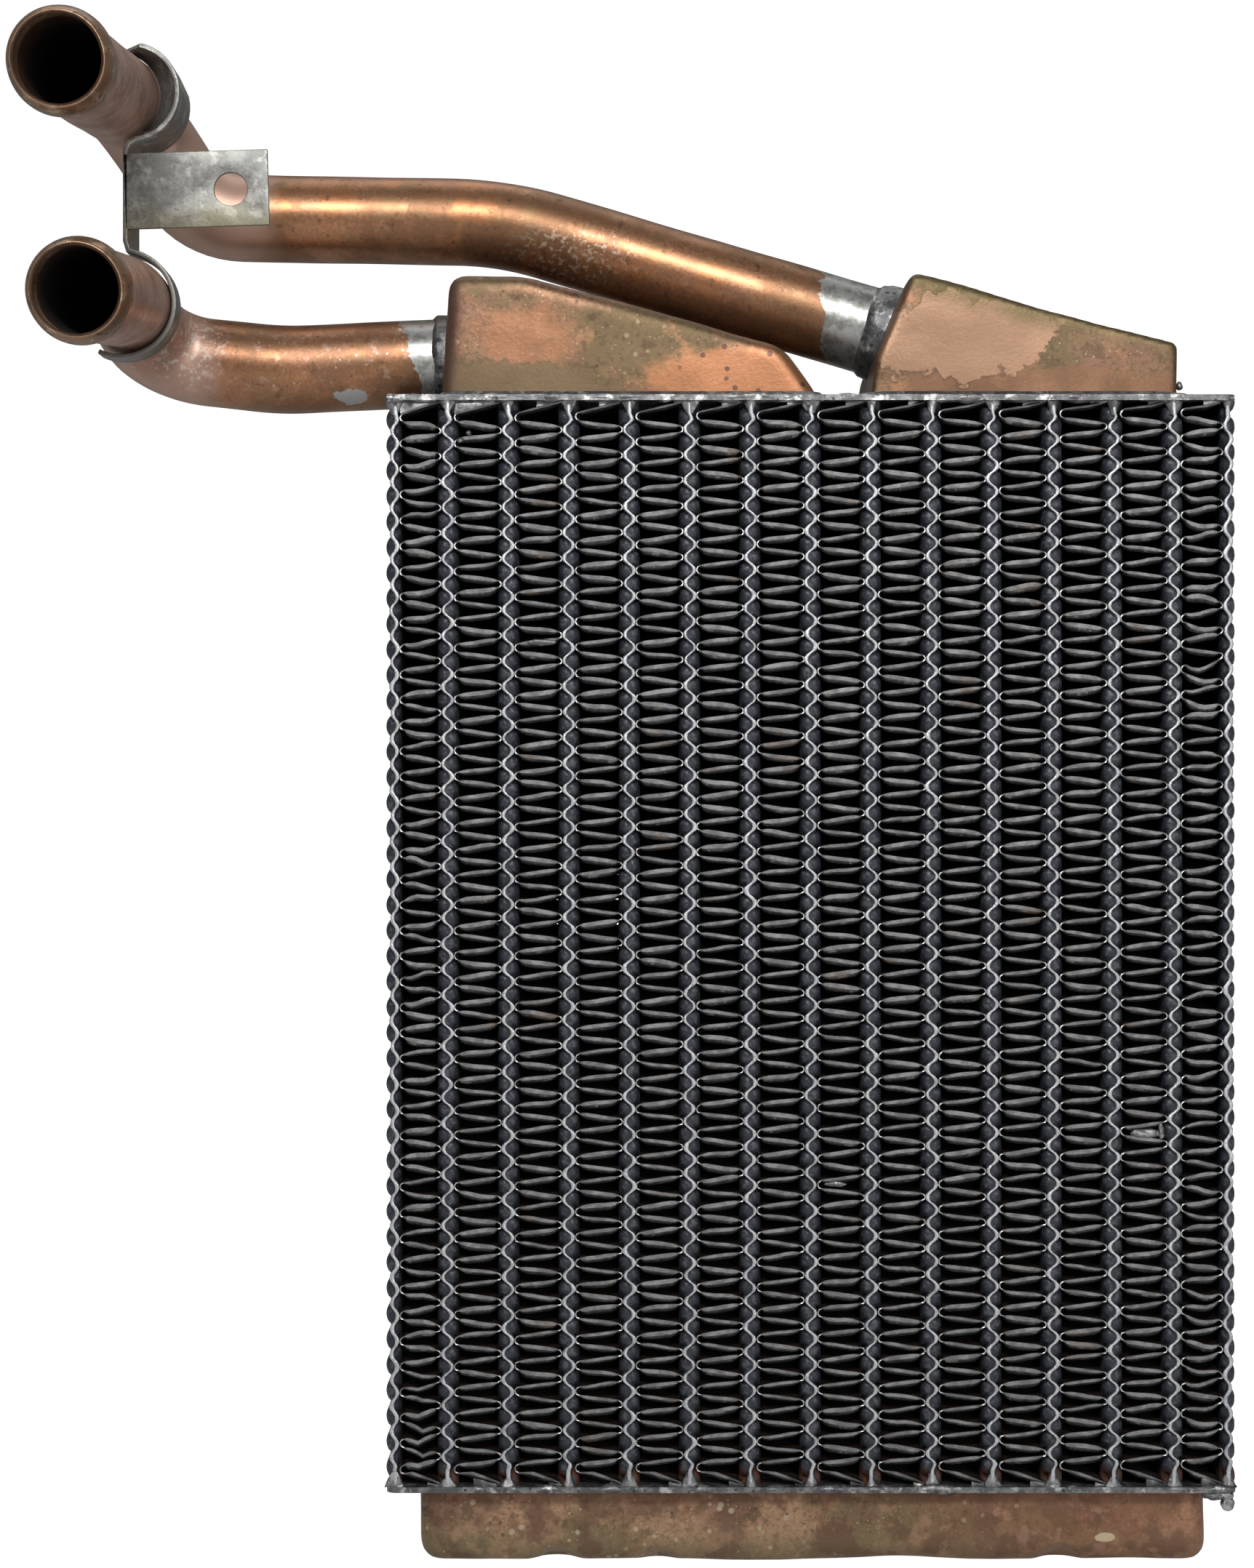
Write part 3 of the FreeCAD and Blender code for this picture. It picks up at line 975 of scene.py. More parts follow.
@dataclass
class Core:
    """The ribbons, fins, header plates and solder of the core.

    Attributes:
        left_seam: place of the left side ribbon's seam.
        right_seam: place of the right side ribbon's seam.
        side_swing: reach of a side ribbon's zigzag.
        side_bulge: distance from a side seam to its outer wall.
        side_wall: distance from a side seam to its inner wall.
        side_scallop: how far the outer wall draws in between its pockets.
        side_gap: how much further out the folds beside a side ribbon stand.
        tip_reach: distance from a seam to the tips of the folds beside it.
        bars: header plates, with the height of the solder along their edges.
        bar_depth: depth of that solder.
        bar_inset: distance of its middle from the plate's edge.
        bar_cuts: how often it is cut across.
        feet_tall: least and greatest height of the solder at a seam's end.
        feet_wide: its least and greatest width.
        foot_sizes: its depth, its overlap with the plate and its distance from the lip's face.
        top_fills: share of each cell under the upper plate that is full of solder.
        bottom_fills: the same over the lower plate.
        fill_depth: how deep those fills go.
        web_slope: how much nearer the plate a web is at its other end.
        drops: place and size of each drip and blob.
    """

    ribbon: Ribbon = field(default_factory=Ribbon)
    left_seam: float = -88.1
    right_seam: float = 86.7
    side_swing: float = 0.6
    side_bulge: float = 2.0
    side_wall: float = 1.3
    side_scallop: float = 1.5
    side_gap: float = 0.3
    tip_reach: float = 1.42
    bars: tuple[tuple[str, float], ...] = (("header_plate_bottom", 1.3), ("header_plate_top", 1.7))
    bar_depth: float = 1.9
    bar_inset: float = 1.1
    bar_cuts: int = 140
    feet_tall: Pair = (2.0, 3.4)
    feet_wide: Pair = (1.3, 2.5)
    foot_sizes: Point = (0.85, 0.3, 0.6)
    top_fills: tuple[float, ...] = (1.0, 1.0, 0.55, 0.5, 0.2, 0.45, 0.35, 0.4, 0.35, 0.3, 0.5, 0.35,
                                    0.4, 0.45)
    bottom_fills: tuple[float, ...] = (
        0.35, 0.6, 0.28, 0.25, 0.3, 0.3, 0.2, 0.3, 0.25, 0.3, 0.35, 0.25, 0.45, 0.5)
    fill_depth: float = 2.4
    web_slope: float = 0.9
    drops: tuple[tuple[Point, Point], ...] = (
        ((-57.3, -25.0, 194.2), (3.1, 0.5, 0.75)),
        ((69.4, -25.0, 91.2), (3.4, 0.7, 1.0)),
        ((72.6, -25.1, 91.6), (0.7, 0.6, 1.7)),
        ((4.4, -25.0, 80.6), (2.4, 0.5, 0.6)),
        ((77.5, -20.4, 248.6), (0.8, 0.8, 0.85)),
        ((-74.2, -25.5, 236.6), (0.7, 0.5, 0.6)),
        ((84.6, -24.7, 15.4), (3.6, 1.2, 1.3)),
        ((86.6, -24.7, 13.4), (1.5, 0.8, 1.5)),
        ((-72.5, -25.5, 238.0), (0.6, 0.5, 0.6)),
    )

    def seams(self) -> list[float]:
        """Middle of every tube."""
        return [middle_x(f"water_tube_{number + 1:02d}") for number in range(TUBE_COUNT)]

    def cells(self) -> list[Pair]:
        """Where the left and the right folds' tips stand in each column of fins."""
        edges = [self.left_seam - self.side_gap] + self.seams() + [self.right_seam + self.side_gap]
        return [(left + self.tip_reach, right - self.tip_reach) for left,
                right in zip(edges, edges[1:])]

    def build(self, tin: Material, side_tin: Material, foil: Material,
              solder: Material) -> None:
        """Model and dress the whole core.

        Args:
            tin: finish of the ribbons.
            side_tin: finish of the side ribbons' outside.
            foil: finish of the fins.
            solder: finish of the plates and the solder.
        """
        walls = {1: self.ribbon.wall, -1: self.ribbon.wall}
        for number, centre in enumerate(self.seams()):
            label = f"{number + 1:02d}"
            tube = self.ribbon.build(f"ribbon_pair_{label}", centre, number, self.ribbon.swing,
                                     walls, {1: 0.0, -1: 0.0})
            finished(tube, tin, "tinned_ribbon", f"water_tube_{label}")
        for side in Side:
            self.side_ribbon(side, tin, side_tin)
        fin = FoldedFin(self.ribbon)
        for column, (left, right) in enumerate(self.cells()):
            label = f"{column + 1:02d}"
            piece = fin.build(f"folded_fin_{label}", left, right, column)
            finished(piece, foil, "fin_foil", f"fin_{label}")
        self.plate_solder(solder)
        self.seam_feet(solder)
        self.corner_fills(solder)
        self.solder_drops(solder)

    def side_ribbon(self, side: Side, tin: Material, side_tin: Material) -> None:
        """The ribbon that closes one side of the core, duller on its outside."""
        seam = self.left_seam if side is Side.LEFT else self.right_seam
        inward = -side.value
        walls = {inward: self.side_wall, -inward: self.side_bulge}
        tube = -1 if side is Side.LEFT else TUBE_COUNT
        label = side.name.lower()
        piece = self.ribbon.build(f"pressed_side_{label}", seam, tube, self.side_swing, walls,
                                  {inward: 0.0, -inward: self.side_scallop})
        finished(piece, tin, "tinned_ribbon", f"side_ribbon_{label}")
        piece.data.materials.append(side_tin)
        flank = (CORE_HALF_DEPTH - 3.0) * MM
        for face in piece.data.polygons:
            outside = face.normal.x * side.value > 0.2 and abs(face.center.y) < flank
            face.material_index = 1 if outside else 0

    def plate_solder(self, solder: Material) -> None:
        """Coat both header plates, with lumpy solder along their front and back edges."""
        for node, height in self.bars:
            dress(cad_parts[node], solder)
            low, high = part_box(node)
            for face in Face:
                label = f"{node.replace('header_plate', 'plate_solder')}_{face.name.lower()}"
                middle = (low + high) / 2
                middle.y = face.value * (high.y - self.bar_inset * MM)
                bar = self.lumpy_bar(label, middle, high.x - low.x - 0.6 * MM,
                                     (self.bar_depth, height))
                finished(bar, solder, "solder")

    def lumpy_bar(self, name: str, middle: Vector, length: float,
                  section: Pair) -> Piece:
        """A long run of solder: a bar cut across many times and made uneven.

        Args:
            name: the piece's name.
            middle: its middle, in metres.
            length: its length, in metres.
            section: depth and height of its section, in millimetres.

        Returns:
            The piece.
        """
        deselect_all()
        bpy.ops.mesh.primitive_cylinder_add(vertices=10, radius=0.5, depth=1, location=middle,
                                            rotation=(0, math.pi / 2, 0))
        bar = named(name)
        bar.scale = (section[1] * MM, section[0] * MM, length)
        settle(bar)
        edit(bar, "DESELECT")
        bpy.ops.mesh.select_mode(type="EDGE")
        leave_edit()
        for edge in bar.data.edges:
            ends = [bar.data.vertices[index].co.x for index in edge.vertices]
            edge.select = abs(ends[0] - ends[1]) > length / 2
        bpy.ops.object.mode_set(mode="EDIT")
        bpy.ops.mesh.subdivide(number_cuts=self.bar_cuts)
        leave_edit()
        roughen(bar, 5.5, 0.9, middle.z * 100)
        roughen(bar, 1.5, 0.4, middle.y * 100)
        smooth(bar, 60)
        return bar

    def seam_feet(self, solder: Material) -> None:
        """Solder that widens every seam where it meets a header plate."""
        seams = [self.left_seam] + self.seams() + [self.right_seam]
        chance = np.random.default_rng(FOOT_SEED)
        depth, overlap, back = self.foot_sizes
        for label, plate, up in (("top", UPPER_PLATE_UNDERSIDE, 1),
                                 ("bottom", LOWER_PLATE_TOP, -1)):
            turn = math.pi if up > 0 else 0
            for face in Face:
                feet = []
                for seam in seams:
                    tall = chance.uniform(*self.feet_tall)
                    wide = chance.uniform(*self.feet_wide)
                    place = Vector((seam, face.value * (CORE_HALF_DEPTH - back),
                                    plate - up * (tall / 2 - overlap)))
                    deselect_all()
                    bpy.ops.mesh.primitive_cone_add(vertices=12, radius1=1, radius2=0.3, depth=1,
                                                    location=place * MM, rotation=(turn, 0, 0))
                    foot = named("foot")
                    foot.scale = Vector((wide, depth, tall)) * MM
                    settle(foot)
                    subdivide(foot, 2)
                    feet.append(foot)
                deselect_all()
                for foot in feet:
                    foot.select_set(True)
                bpy.context.view_layer.objects.active = feet[0]
                bpy.ops.object.join()
                row = named(f"seam_feet_{label}_{face.name.lower()}")
                roughen(row, 1.6, 0.3, plate)
                smooth(row, 70)
                finished(row, solder, "solder")

    def corner_fills(self, solder: Material) -> None:
        """Solder in the cells beside the header plates, where the webs slope to the plate."""
        last_turn = int((UPPER_PLATE_UNDERSIDE - self.ribbon.peak(0)) / self.ribbon.pitch)
        for column, (left, right) in enumerate(self.cells()):
            peak = (self.ribbon.peak(column - 1) + self.ribbon.peak(column)) / 2
            web_top = peak + last_turn * self.ribbon.pitch + self.web_slope
            web_low = peak - self.web_slope
            for label, share, plate, web in (
                    ("top", self.top_fills[column], UPPER_PLATE_UNDERSIDE, web_top),
                    ("bottom", self.bottom_fills[column], LOWER_PLATE_TOP, web_low)):
                start = right - (right - left) * share
                fall = (plate - web) * share
                for face in Face:
                    name = f"cell_solder_{label}_{face.name.lower()}_{column + 1:02d}"
                    wedge = self.wedge(name, start, right, plate, plate - fall, face)
                    finished(wedge, solder, "solder")

    def wedge(self, name: str, left: float, right: float, plate: float, web: float,
              face: Face) -> Piece:
        """A three-sided fill between a header plate and a sloping web.

        Args:
            name: the piece's name.
            left: its open end along X.
            right: its sharp end along X.
            plate: height of the header plate's face.
            web: height of the web at the open end.
            face: the face of the core that it is in.

        Returns:
            The piece.
        """
        deselect_all()
        y = face.value * (CORE_HALF_DEPTH - 0.5)
        depth = self.fill_depth
        middle = ((left + right) / 2 * MM, (y - face.value * depth / 2) * MM,
                  (plate + web) / 2 * MM)
        bpy.ops.mesh.primitive_cube_add(size=1, location=middle)
        block = named(name)
        block.scale = ((right - left) * MM, depth * MM, abs(plate - web) * MM)
        settle(block)
        points = vertex_array(block)
        slim = 0.25 * math.copysign(1, web - plate)
        at_right = points[:, 0] > (left + right) / 2 * MM
        off_plate = np.abs(points[:, 2] / MM - plate) > abs(plate - web) / 2
        points[at_right & off_plate, 2] = (plate + slim) * MM
        set_vertices(block, points)
        subdivide(block, 5)
        roughen(block, 2.2, 0.45, left)
        smooth(block, 60)
        return block

    def solder_drops(self, solder: Material) -> None:
        """The few drips and blobs that ran over the fins."""
        for number, (place, size) in enumerate(self.drops, start=1):
            deselect_all()
            bpy.ops.mesh.primitive_ico_sphere_add(subdivisions=3, radius=1,
                                                  location=Vector(place) * MM)
            drop = named(f"solder_drop_{number}")
            drop.scale = Vector(size) * MM
            settle(drop)
            roughen(drop, 1.2, min(size) * 0.5, number)
            smooth(drop, 60)
            finished(drop, solder, "solder")


# ---------------------------------------------------------------- the tanks


@dataclass
class PressedTank:
    """A deep-drawn tank: a block cut to its slopes, rounded, and dented a little.

    Attributes:
        name: the piece's name.
        node: the CAD node that it stands for.
        cuts: planes that cut its slopes, as a point and an outward normal in the X-Z plane.
        rounding: radius of its edges.
        open_up: whether it is open at the top instead of at its foot.
        dents: place, reach and depth of each dent.
        wall: thickness of its sheet.
        mesh_size: size of its mesh.
        spare: how much longer the block is made at its open side.
        seed: shifts its unevenness.
    """

    name: str
    node: str
    cuts: tuple[tuple[Pair, Pair], ...] = ()
    rounding: float = 4.5
    open_up: bool = False
    dents: tuple[tuple[Point, float, float], ...] = ()
    wall: float = 0.8
    mesh_size: float = 0.8
    spare: float = 6.0
    seed: float = 0.0

    def build(self, brass: Material) -> Piece:
        """Model the tank.

        Args:
            brass: its finish.

        Returns:
            The piece.
        """
        low, high = (Vector(corner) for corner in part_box(self.node))
        spare = self.spare * MM
        if self.open_up:
            high.z += spare
        else:
            low.z -= spare
        deselect_all()
        bpy.ops.mesh.primitive_cube_add(size=1, location=(low + high) / 2)
        tank = named(self.name)
        tank.scale = high - low
        settle(tank)
        for (x, z), (normal_x, normal_z) in self.cuts:
            self.slice_off(tank, Vector((x * MM, 0, z * MM)), Vector((normal_x, 0, normal_z)))
        apply_modifier(tank, "BEVEL", width=self.rounding * MM, segments=5, limit_method="ANGLE",
                       angle_limit=math.radians(SLOPE_ANGLE), use_clamp_overlap=True)
        apply_modifier(tank, "REMESH", mode="VOXEL", voxel_size=self.mesh_size * MM, adaptivity=0.0)
        apply_modifier(tank, "SMOOTH", factor=0.5, iterations=6)
        roughen(tank, 26, 0.5, self.seed)
        roughen(tank, 7, 0.1, self.seed + 4)
        self.press_dents(tank)
        edge_z = (high.z - spare) if self.open_up else (low.z + spare)
        outward = Vector((0, 0, 1 if self.open_up else -1))
        self.slice_off(tank, Vector((0, 0, edge_z)), outward, fill=False)
        apply_modifier(tank, "SOLIDIFY", thickness=self.wall * MM, offset=-1.0)
        smooth(tank, 60)
        return finished(tank, brass, "tarnished_brass", self.node)

    def slice_off(self, tank: Piece, place: Vector, outward: Vector,
                  fill: bool = True) -> None:
        """Cut away what lies past a plane.

        Args:
            tank: the piece.
            place: a point on the plane.
            outward: the plane's normal, to the side that goes.
            fill: whether the cut is closed.
        """
        edit(tank)
        bpy.ops.mesh.bisect(plane_co=place, plane_no=outward, use_fill=fill, clear_outer=True)
        leave_edit()

    def press_dents(self, tank: Piece) -> None:
        """Push in the tank's skin around each dent."""
        points = vertex_array(tank)
        for place, reach, depth in self.dents:
            away = np.linalg.norm(points - np.array(place) * MM, axis=1) / (reach * MM)
            near = away < 1
            points[near, 2] += (1 - away[near] ** 2) ** 2 * depth * MM
        set_vertices(tank, points)


# ---------------------------------------------------------------- the pipes


@dataclass
class BentPipe:
    """A bent copper pipe with a rolled bead at its hose end and a collar at its tank.

    Attributes:
        name: the piece's name.
        node: the CAD node that it stands for.
        route: corners of its centre line.
        radii: radius of each bend.
        radius: outside radius of the pipe.
        wall: thickness of its wall.
        bead: distance from the end and radius of each ring of the bead.
        step: longest distance between rings.
        sides: corners of its section.
        skin: how far below the outside radius the bore's finish starts.
        middles: points on the centre line, gathered while it is drawn.
    """

    name: str
    node: str
    route: tuple[Point, ...]
    radii: tuple[float, ...]
    radius: float = 9.525
    wall: float = 1.0
    bead: tuple[Pair, ...] = (
        (0.0, 9.0), (0.35, 9.3), (1.4, 9.75), (2.7, 10.2), (4.2, 10.42), (5.5, 10.45), (6.2, 10.05),
        (6.7, 9.62), (7.6, 9.525))
    step: float = 3.5
    sides: int = 56
    skin: float = 0.68
    middles: list[Vector] = field(default_factory=list)

    def build(self, copper: Material, bore: Material) -> Piece:
        """Model the pipe: a ring drawn out along the straight runs and spun round the bends.

        Args:
            copper: its finish.
            bore: finish of its inside.

        Returns:
            The piece.
        """
        corners = [Vector(corner) * MM for corner in self.route]
        along = (corners[1] - corners[0]).normalized()
        deselect_all()
        bpy.ops.mesh.primitive_circle_add(vertices=self.sides, radius=self.bead[0][1] * MM,
                                          location=corners[0],
                                          rotation=along.to_track_quat("Z", "Y").to_euler())
        pipe = named(self.name)
        settle(pipe)
        edit(pipe)
        here = corners[0]
        for (before, size), (place, next_size) in zip(self.bead, self.bead[1:]):
            here = self.draw_out(here, here + along * (place - before) * MM)
            ratio = next_size / size
            bpy.ops.transform.resize(value=(ratio,) * 3, center_override=here)
        for corner, following, bend in zip(corners[1:-1], corners[2:], self.radii):
            here = self.bend_round(here, corner, following, bend * MM)
        self.draw_out(here, corners[-1])
        leave_edit()
        self.finish_wall(pipe)
        finished(pipe, copper, "tarnished_copper", self.node)
        self.dress_bore(pipe, bore)
        return pipe

    def dress_bore(self, pipe: Piece, bore: Material) -> None:
        """Give the faces nearer to the centre line than the outer skin the bore's finish."""
        pipe.data.materials.append(bore)
        middles = np.array(self.middles)
        limit = (self.radius - self.skin) * MM
        for face in pipe.data.polygons:
            away = np.linalg.norm(middles - np.array(face.center), axis=1).min()
            face.material_index = 1 if away < limit else 0

    def draw_out(self, start: Vector, end: Vector) -> Vector:
        """Extrude the selected ring along a straight run, in even steps.

        Args:
            start: the ring's middle.
            end: where the run ends.

        Returns:
            The end.
        """
        count = max(1, math.ceil((end - start).length / (self.step * MM)))
        move = {"value": (end - start) / count}
        for _ in range(count):
            bpy.ops.mesh.extrude_region_move(TRANSFORM_OT_translate=move)
        self.middles += [start.lerp(end, share) for share in np.linspace(0, 1, count * 2 + 1)]
        return end

    def bend_round(self, here: Vector, corner: Vector, following: Vector, bend: float) -> Vector:
        """Draw the ring up to a bend and spin it round.

        Args:
            here: the ring's middle.
            corner: the route's corner.
            following: the corner after it.
            bend: the bend's radius.

        Returns:
            The ring's middle after the bend.
        """
        arriving = (corner - here).normalized()
        leaving = (following - corner).normalized()
        turn = arriving.angle(leaving)
        reach = bend * math.tan(turn / 2)
        start = self.draw_out(here, corner - arriving * reach)
        axis = arriving.cross(leaving).normalized()
        centre = start + axis.cross(arriving).normalized() * bend
        steps = max(4, math.ceil(turn * bend / (self.step * 0.6 * MM)),
                    math.ceil(math.degrees(turn) / BEND_STEP))
        bpy.ops.mesh.spin(steps=steps, angle=-turn, center=centre, axis=axis)
        self.middles += [centre + Matrix.Rotation(turn * share, 3, axis) @ (start - centre)
                         for share in np.linspace(0, 1, steps * 2 + 1)]
        return corner + leaving * reach

    def finish_wall(self, pipe: Piece) -> None:
        """Give the drawn skin its wall, a rounded lip and slight waves."""
        edit(pipe)
        bpy.ops.mesh.remove_doubles(threshold=1e-5)
        bpy.ops.mesh.normals_make_consistent(inside=False)
        leave_edit()
        self.face_outward(pipe)
        roughen(pipe, 16, 0.16, 3)
        apply_modifier(pipe, "SOLIDIFY", thickness=self.wall * MM, offset=-1.0,
                       use_even_offset=False)
        apply_modifier(pipe, "BEVEL", width=0.28 * MM, segments=3, limit_method="ANGLE",
                       angle_limit=math.radians(55))
        smooth(pipe, 50)

    def face_outward(self, pipe: Piece) -> None:
        """Turn the open skin's faces away from its centre line, if they point at it."""
        start = Vector(self.route[0]) * MM
        along = (Vector(self.route[1]) * MM - start).normalized()
        face = pipe.data.polygons[0]
        spoke = face.center - start
        spoke -= along * spoke.dot(along)
        if face.normal.dot(spoke) < 0:
            edit(pipe)
            bpy.ops.mesh.flip_normals()
            leave_edit()

    def collar(self, name: str, node: str, rings: tuple[Pair, ...],
               solder: Material) -> Piece:
        """The soldered collar at the tank: a ring drawn out over the pipe's end.

        Args:
            name: the piece's name.
            node: the CAD node that it stands for.
            rings: distance from the pipe's end and radius of each ring.
            solder: its finish.

        Returns:
            The piece.
        """
        end = Vector(self.route[-1]) * MM
        back = (Vector(self.route[-2]) * MM - end).normalized()
        deselect_all()
        first_place, first_size = rings[0]
        bpy.ops.mesh.primitive_circle_add(vertices=self.sides, radius=first_size * MM,
                                          location=end + back * first_place * MM,
                                          rotation=back.to_track_quat("Z", "Y").to_euler())
        piece = named(name)
        settle(piece)
        edit(piece)
        for (before, size), (place, next_size) in zip(rings, rings[1:]):
            move = {"value": back * (place - before) * MM}
            bpy.ops.mesh.extrude_region_move(TRANSFORM_OT_translate=move)
            ratio = next_size / size
            bpy.ops.transform.resize(value=(ratio,) * 3, center_override=end + back * place * MM)
        leave_edit()
        close_up(piece)
        roughen(piece, 3.5, 0.28, first_place + 2)
        smooth(piece, 50)
        return finished(piece, solder, "solder", node)


# ---------------------------------------------------------------- the strap


@dataclass
class PipeStrap:
    """The zinc-plated strap: a clip, a strip with a screw tab, and a hook.

    Attributes:
        front: place of its front edge along Y.
        depth: width of the strip, from its front edge back.
        hook_depth: width of the hook's band.
        thickness: thickness of the sheet.
        clip_centre: middle of the clip's round, in the X-Z plane.
        clip_radius: its radius.
        clip_angles: where it ends and starts, in degrees.
        hook_centre: middle of the hook's round.
        hook_radius: its radius.
        hook_angles: where it ends and starts, in degrees.
        strip_x: place of the upright strip.
        strip_top: height of its upper end.
        strip_bottom: height of its lower end.
        neck: points between the clip's round and the strip: to its right, and below the round.
        tab_size: length and height of the screw tab.
        tab_tilt: how far its right end points up, in degrees.
        tab_top: height of its upper left corner.
        hole: distance from the strip and from the tab's top, and radius, of the screw hole.
        lining_depth: width of the clip's inner fold.
        lining_radius: radius of its rear edge.
        lining_angles: where it ends and starts, in degrees.
        pipe_centre: middle of the pipe at the fold's rear edge.
        notch_step: width of the clip near its free end, and how much it narrows per degree.
        notch_angle: where the narrow part of the clip starts, in degrees.
    """

    front: float = -21.4
    depth: float = 14.0
    hook_depth: float = 6.0
    thickness: float = 1.0
    clip_centre: Pair = (-144.3, 310.7)
    clip_radius: float = 10.0
    clip_angles: Pair = (-84.0, 78.0)
    hook_centre: Pair = (-146.2, 266.0)
    hook_radius: float = 11.2
    hook_angles: Pair = (-115.0, 74.0)
    strip_x: float = -145.3
    strip_top: float = 298.4
    strip_bottom: float = 278.9
    neck: tuple[Pair, ...] = ((1.6, 0.3), (0.6, 0.8))
    tab_size: Pair = (30.5, 16.0)
    tab_tilt: float = 1.8
    tab_top: float = 297.6
    hole: tuple[float, float, float] = (22.5, 8.2, 3.5)
    lining_depth: float = 7.5
    lining_radius: float = 10.0
    lining_angles: Pair = (-52.0, 78.0)
    pipe_centre: Pair = (-148.7, 311.4)
    notch_step: Pair = (9.0, 0.07)
    notch_angle: float = 20.0

    def band(self, name: str, start: Pair, moves: list,
             depth: float) -> Piece:
        """Bend a band of sheet: one edge across the strap, drawn out and spun.

        Args:
            name: the piece's name.
            start: where the band starts, in the X-Z plane.
            moves: ("to", point) for a straight run or ("round", centre, degrees) for a bend.
            depth: the band's width.

        Returns:
            The open band, without its thickness.
        """
        middle = Vector((start[0], self.front + depth / 2, start[1]))
        deselect_all()
        bpy.ops.mesh.primitive_plane_add(size=1, location=middle * MM)
        band = named(name)
        band.scale = (0.02 * MM, depth * MM, 1)
        settle(band)
        edit(band, "DESELECT")
        bpy.ops.mesh.select_mode(type="VERT")
        leave_edit()
        for vertex in band.data.vertices:
            vertex.select = vertex.co.x > start[0] * MM
        bpy.ops.object.mode_set(mode="EDIT")
        here = Vector((start[0], 0, start[1]))
        for kind, target, *angle in moves:
            place = Vector((target[0], 0, target[1]))
            if kind == "to":
                move = {"value": (place - here) * MM}
                bpy.ops.mesh.extrude_edges_move(TRANSFORM_OT_translate=move)
                here = place
            else:
                turn = math.radians(angle[0])
                steps = max(4, round(abs(angle[0]) / BAND_STEP))
                bpy.ops.mesh.spin(steps=steps, angle=-turn, center=place * MM, axis=(0, -1, 0))
                here = place + Matrix.Rotation(turn, 3, (0, -1, 0)) @ (here - place)
        bpy.ops.mesh.select_all(action="SELECT")
        bpy.ops.mesh.remove_doubles(threshold=0.03 * MM)
        bpy.ops.mesh.normals_make_consistent(inside=False)
        leave_edit()
        return band

    def on_arc(self, centre: Pair, radius: float,
               angle: float) -> Pair:
        """A point on an arc in the X-Z plane, its angle in degrees."""
        turn = math.radians(angle)
        return (centre[0] + radius * math.cos(turn), centre[1] + radius * math.sin(turn))

    def build(self, zinc: Material) -> None:
        """Model and dress the strap's three pieces.

        Args:
            zinc: its finish.
        """
        low, high = self.clip_angles
        foot = self.clip_centre[1] - self.clip_radius
        clip = self.band("strap_clip", self.on_arc(self.clip_centre, self.clip_radius, high),
                         [("round", self.clip_centre, low - high),
                          *(("to", (self.strip_x + right, foot - below)) for right,
                            below in self.neck),
                          ("to", (self.strip_x, self.strip_top)),
                          ("to", (self.strip_x, self.strip_bottom))], self.depth)
        self.notch(clip)
        low, high = self.hook_angles
        hook_top = self.on_arc(self.hook_centre, self.hook_radius, high)
        hook = self.band("strap_hook", (self.strip_x, self.strip_bottom + 1.5),
                         [("to", (self.strip_x, self.strip_bottom + 0.3)),
                          ("to", (self.strip_x + 0.6, hook_top[1] + 0.4)), ("to", hook_top),
                          ("round", self.hook_centre, low - high)], self.hook_depth)
        for piece in (clip, hook):
            apply_modifier(piece, "SOLIDIFY", thickness=self.thickness * MM, offset=0.0,
                           use_even_offset=True)
            apply_modifier(piece, "BEVEL", width=0.16 * MM, segments=2, limit_method="ANGLE",
                           angle_limit=math.radians(50))
            smooth(piece, 45)
        finished(clip, zinc, "zinc_strap", "pipe_bracket")
        finished(self.lining(), zinc, "zinc_strap")
        finished(hook, zinc, "zinc_strap")
        finished(self.tab(), zinc, "zinc_strap")

    def lining(self) -> Piece:
        """The clip's inner fold, which runs from its front edge back and in to the pipe."""
        low, high = self.lining_angles
        lining = self.band("strap_lining", self.on_arc(self.clip_centre, self.clip_radius, high),
                           [("round", self.clip_centre, low - high)], self.lining_depth)
        points = vertex_array(lining) / MM
        back = points[:, 1] > self.front + self.lining_depth / 2
        pipe_x, pipe_z = self.pipe_centre
        clip_x, clip_z = self.clip_centre
        angle = np.arctan2(points[back, 2] - clip_z, points[back, 0] - clip_x)
        points[back, 0] = pipe_x + self.lining_radius * np.cos(angle)
        points[back, 2] = pipe_z + self.lining_radius * np.sin(angle)
        set_vertices(lining, points * MM)
        apply_modifier(lining, "SOLIDIFY", thickness=0.8 * self.thickness * MM, offset=0.0)
        smooth(lining, 45)
        return lining

    def notch(self, clip: Piece) -> None:
        """Step the clip's back edge in near its free end, where the sheet was cut away."""
        points = vertex_array(clip) / MM
        centre_x, centre_z = self.clip_centre
        angle = np.degrees(np.arctan2(points[:, 2] - centre_z, points[:, 0] - centre_x))
        back = points[:, 1] > self.front + self.depth / 2
        round_part = points[:, 2] > centre_z - 2
        width, narrowing = self.notch_step
        free_end = back & round_part & (angle > self.notch_angle)
        points[free_end, 1] = self.front + width - (angle[free_end] - self.notch_angle) * narrowing
        set_vertices(clip, points * MM)

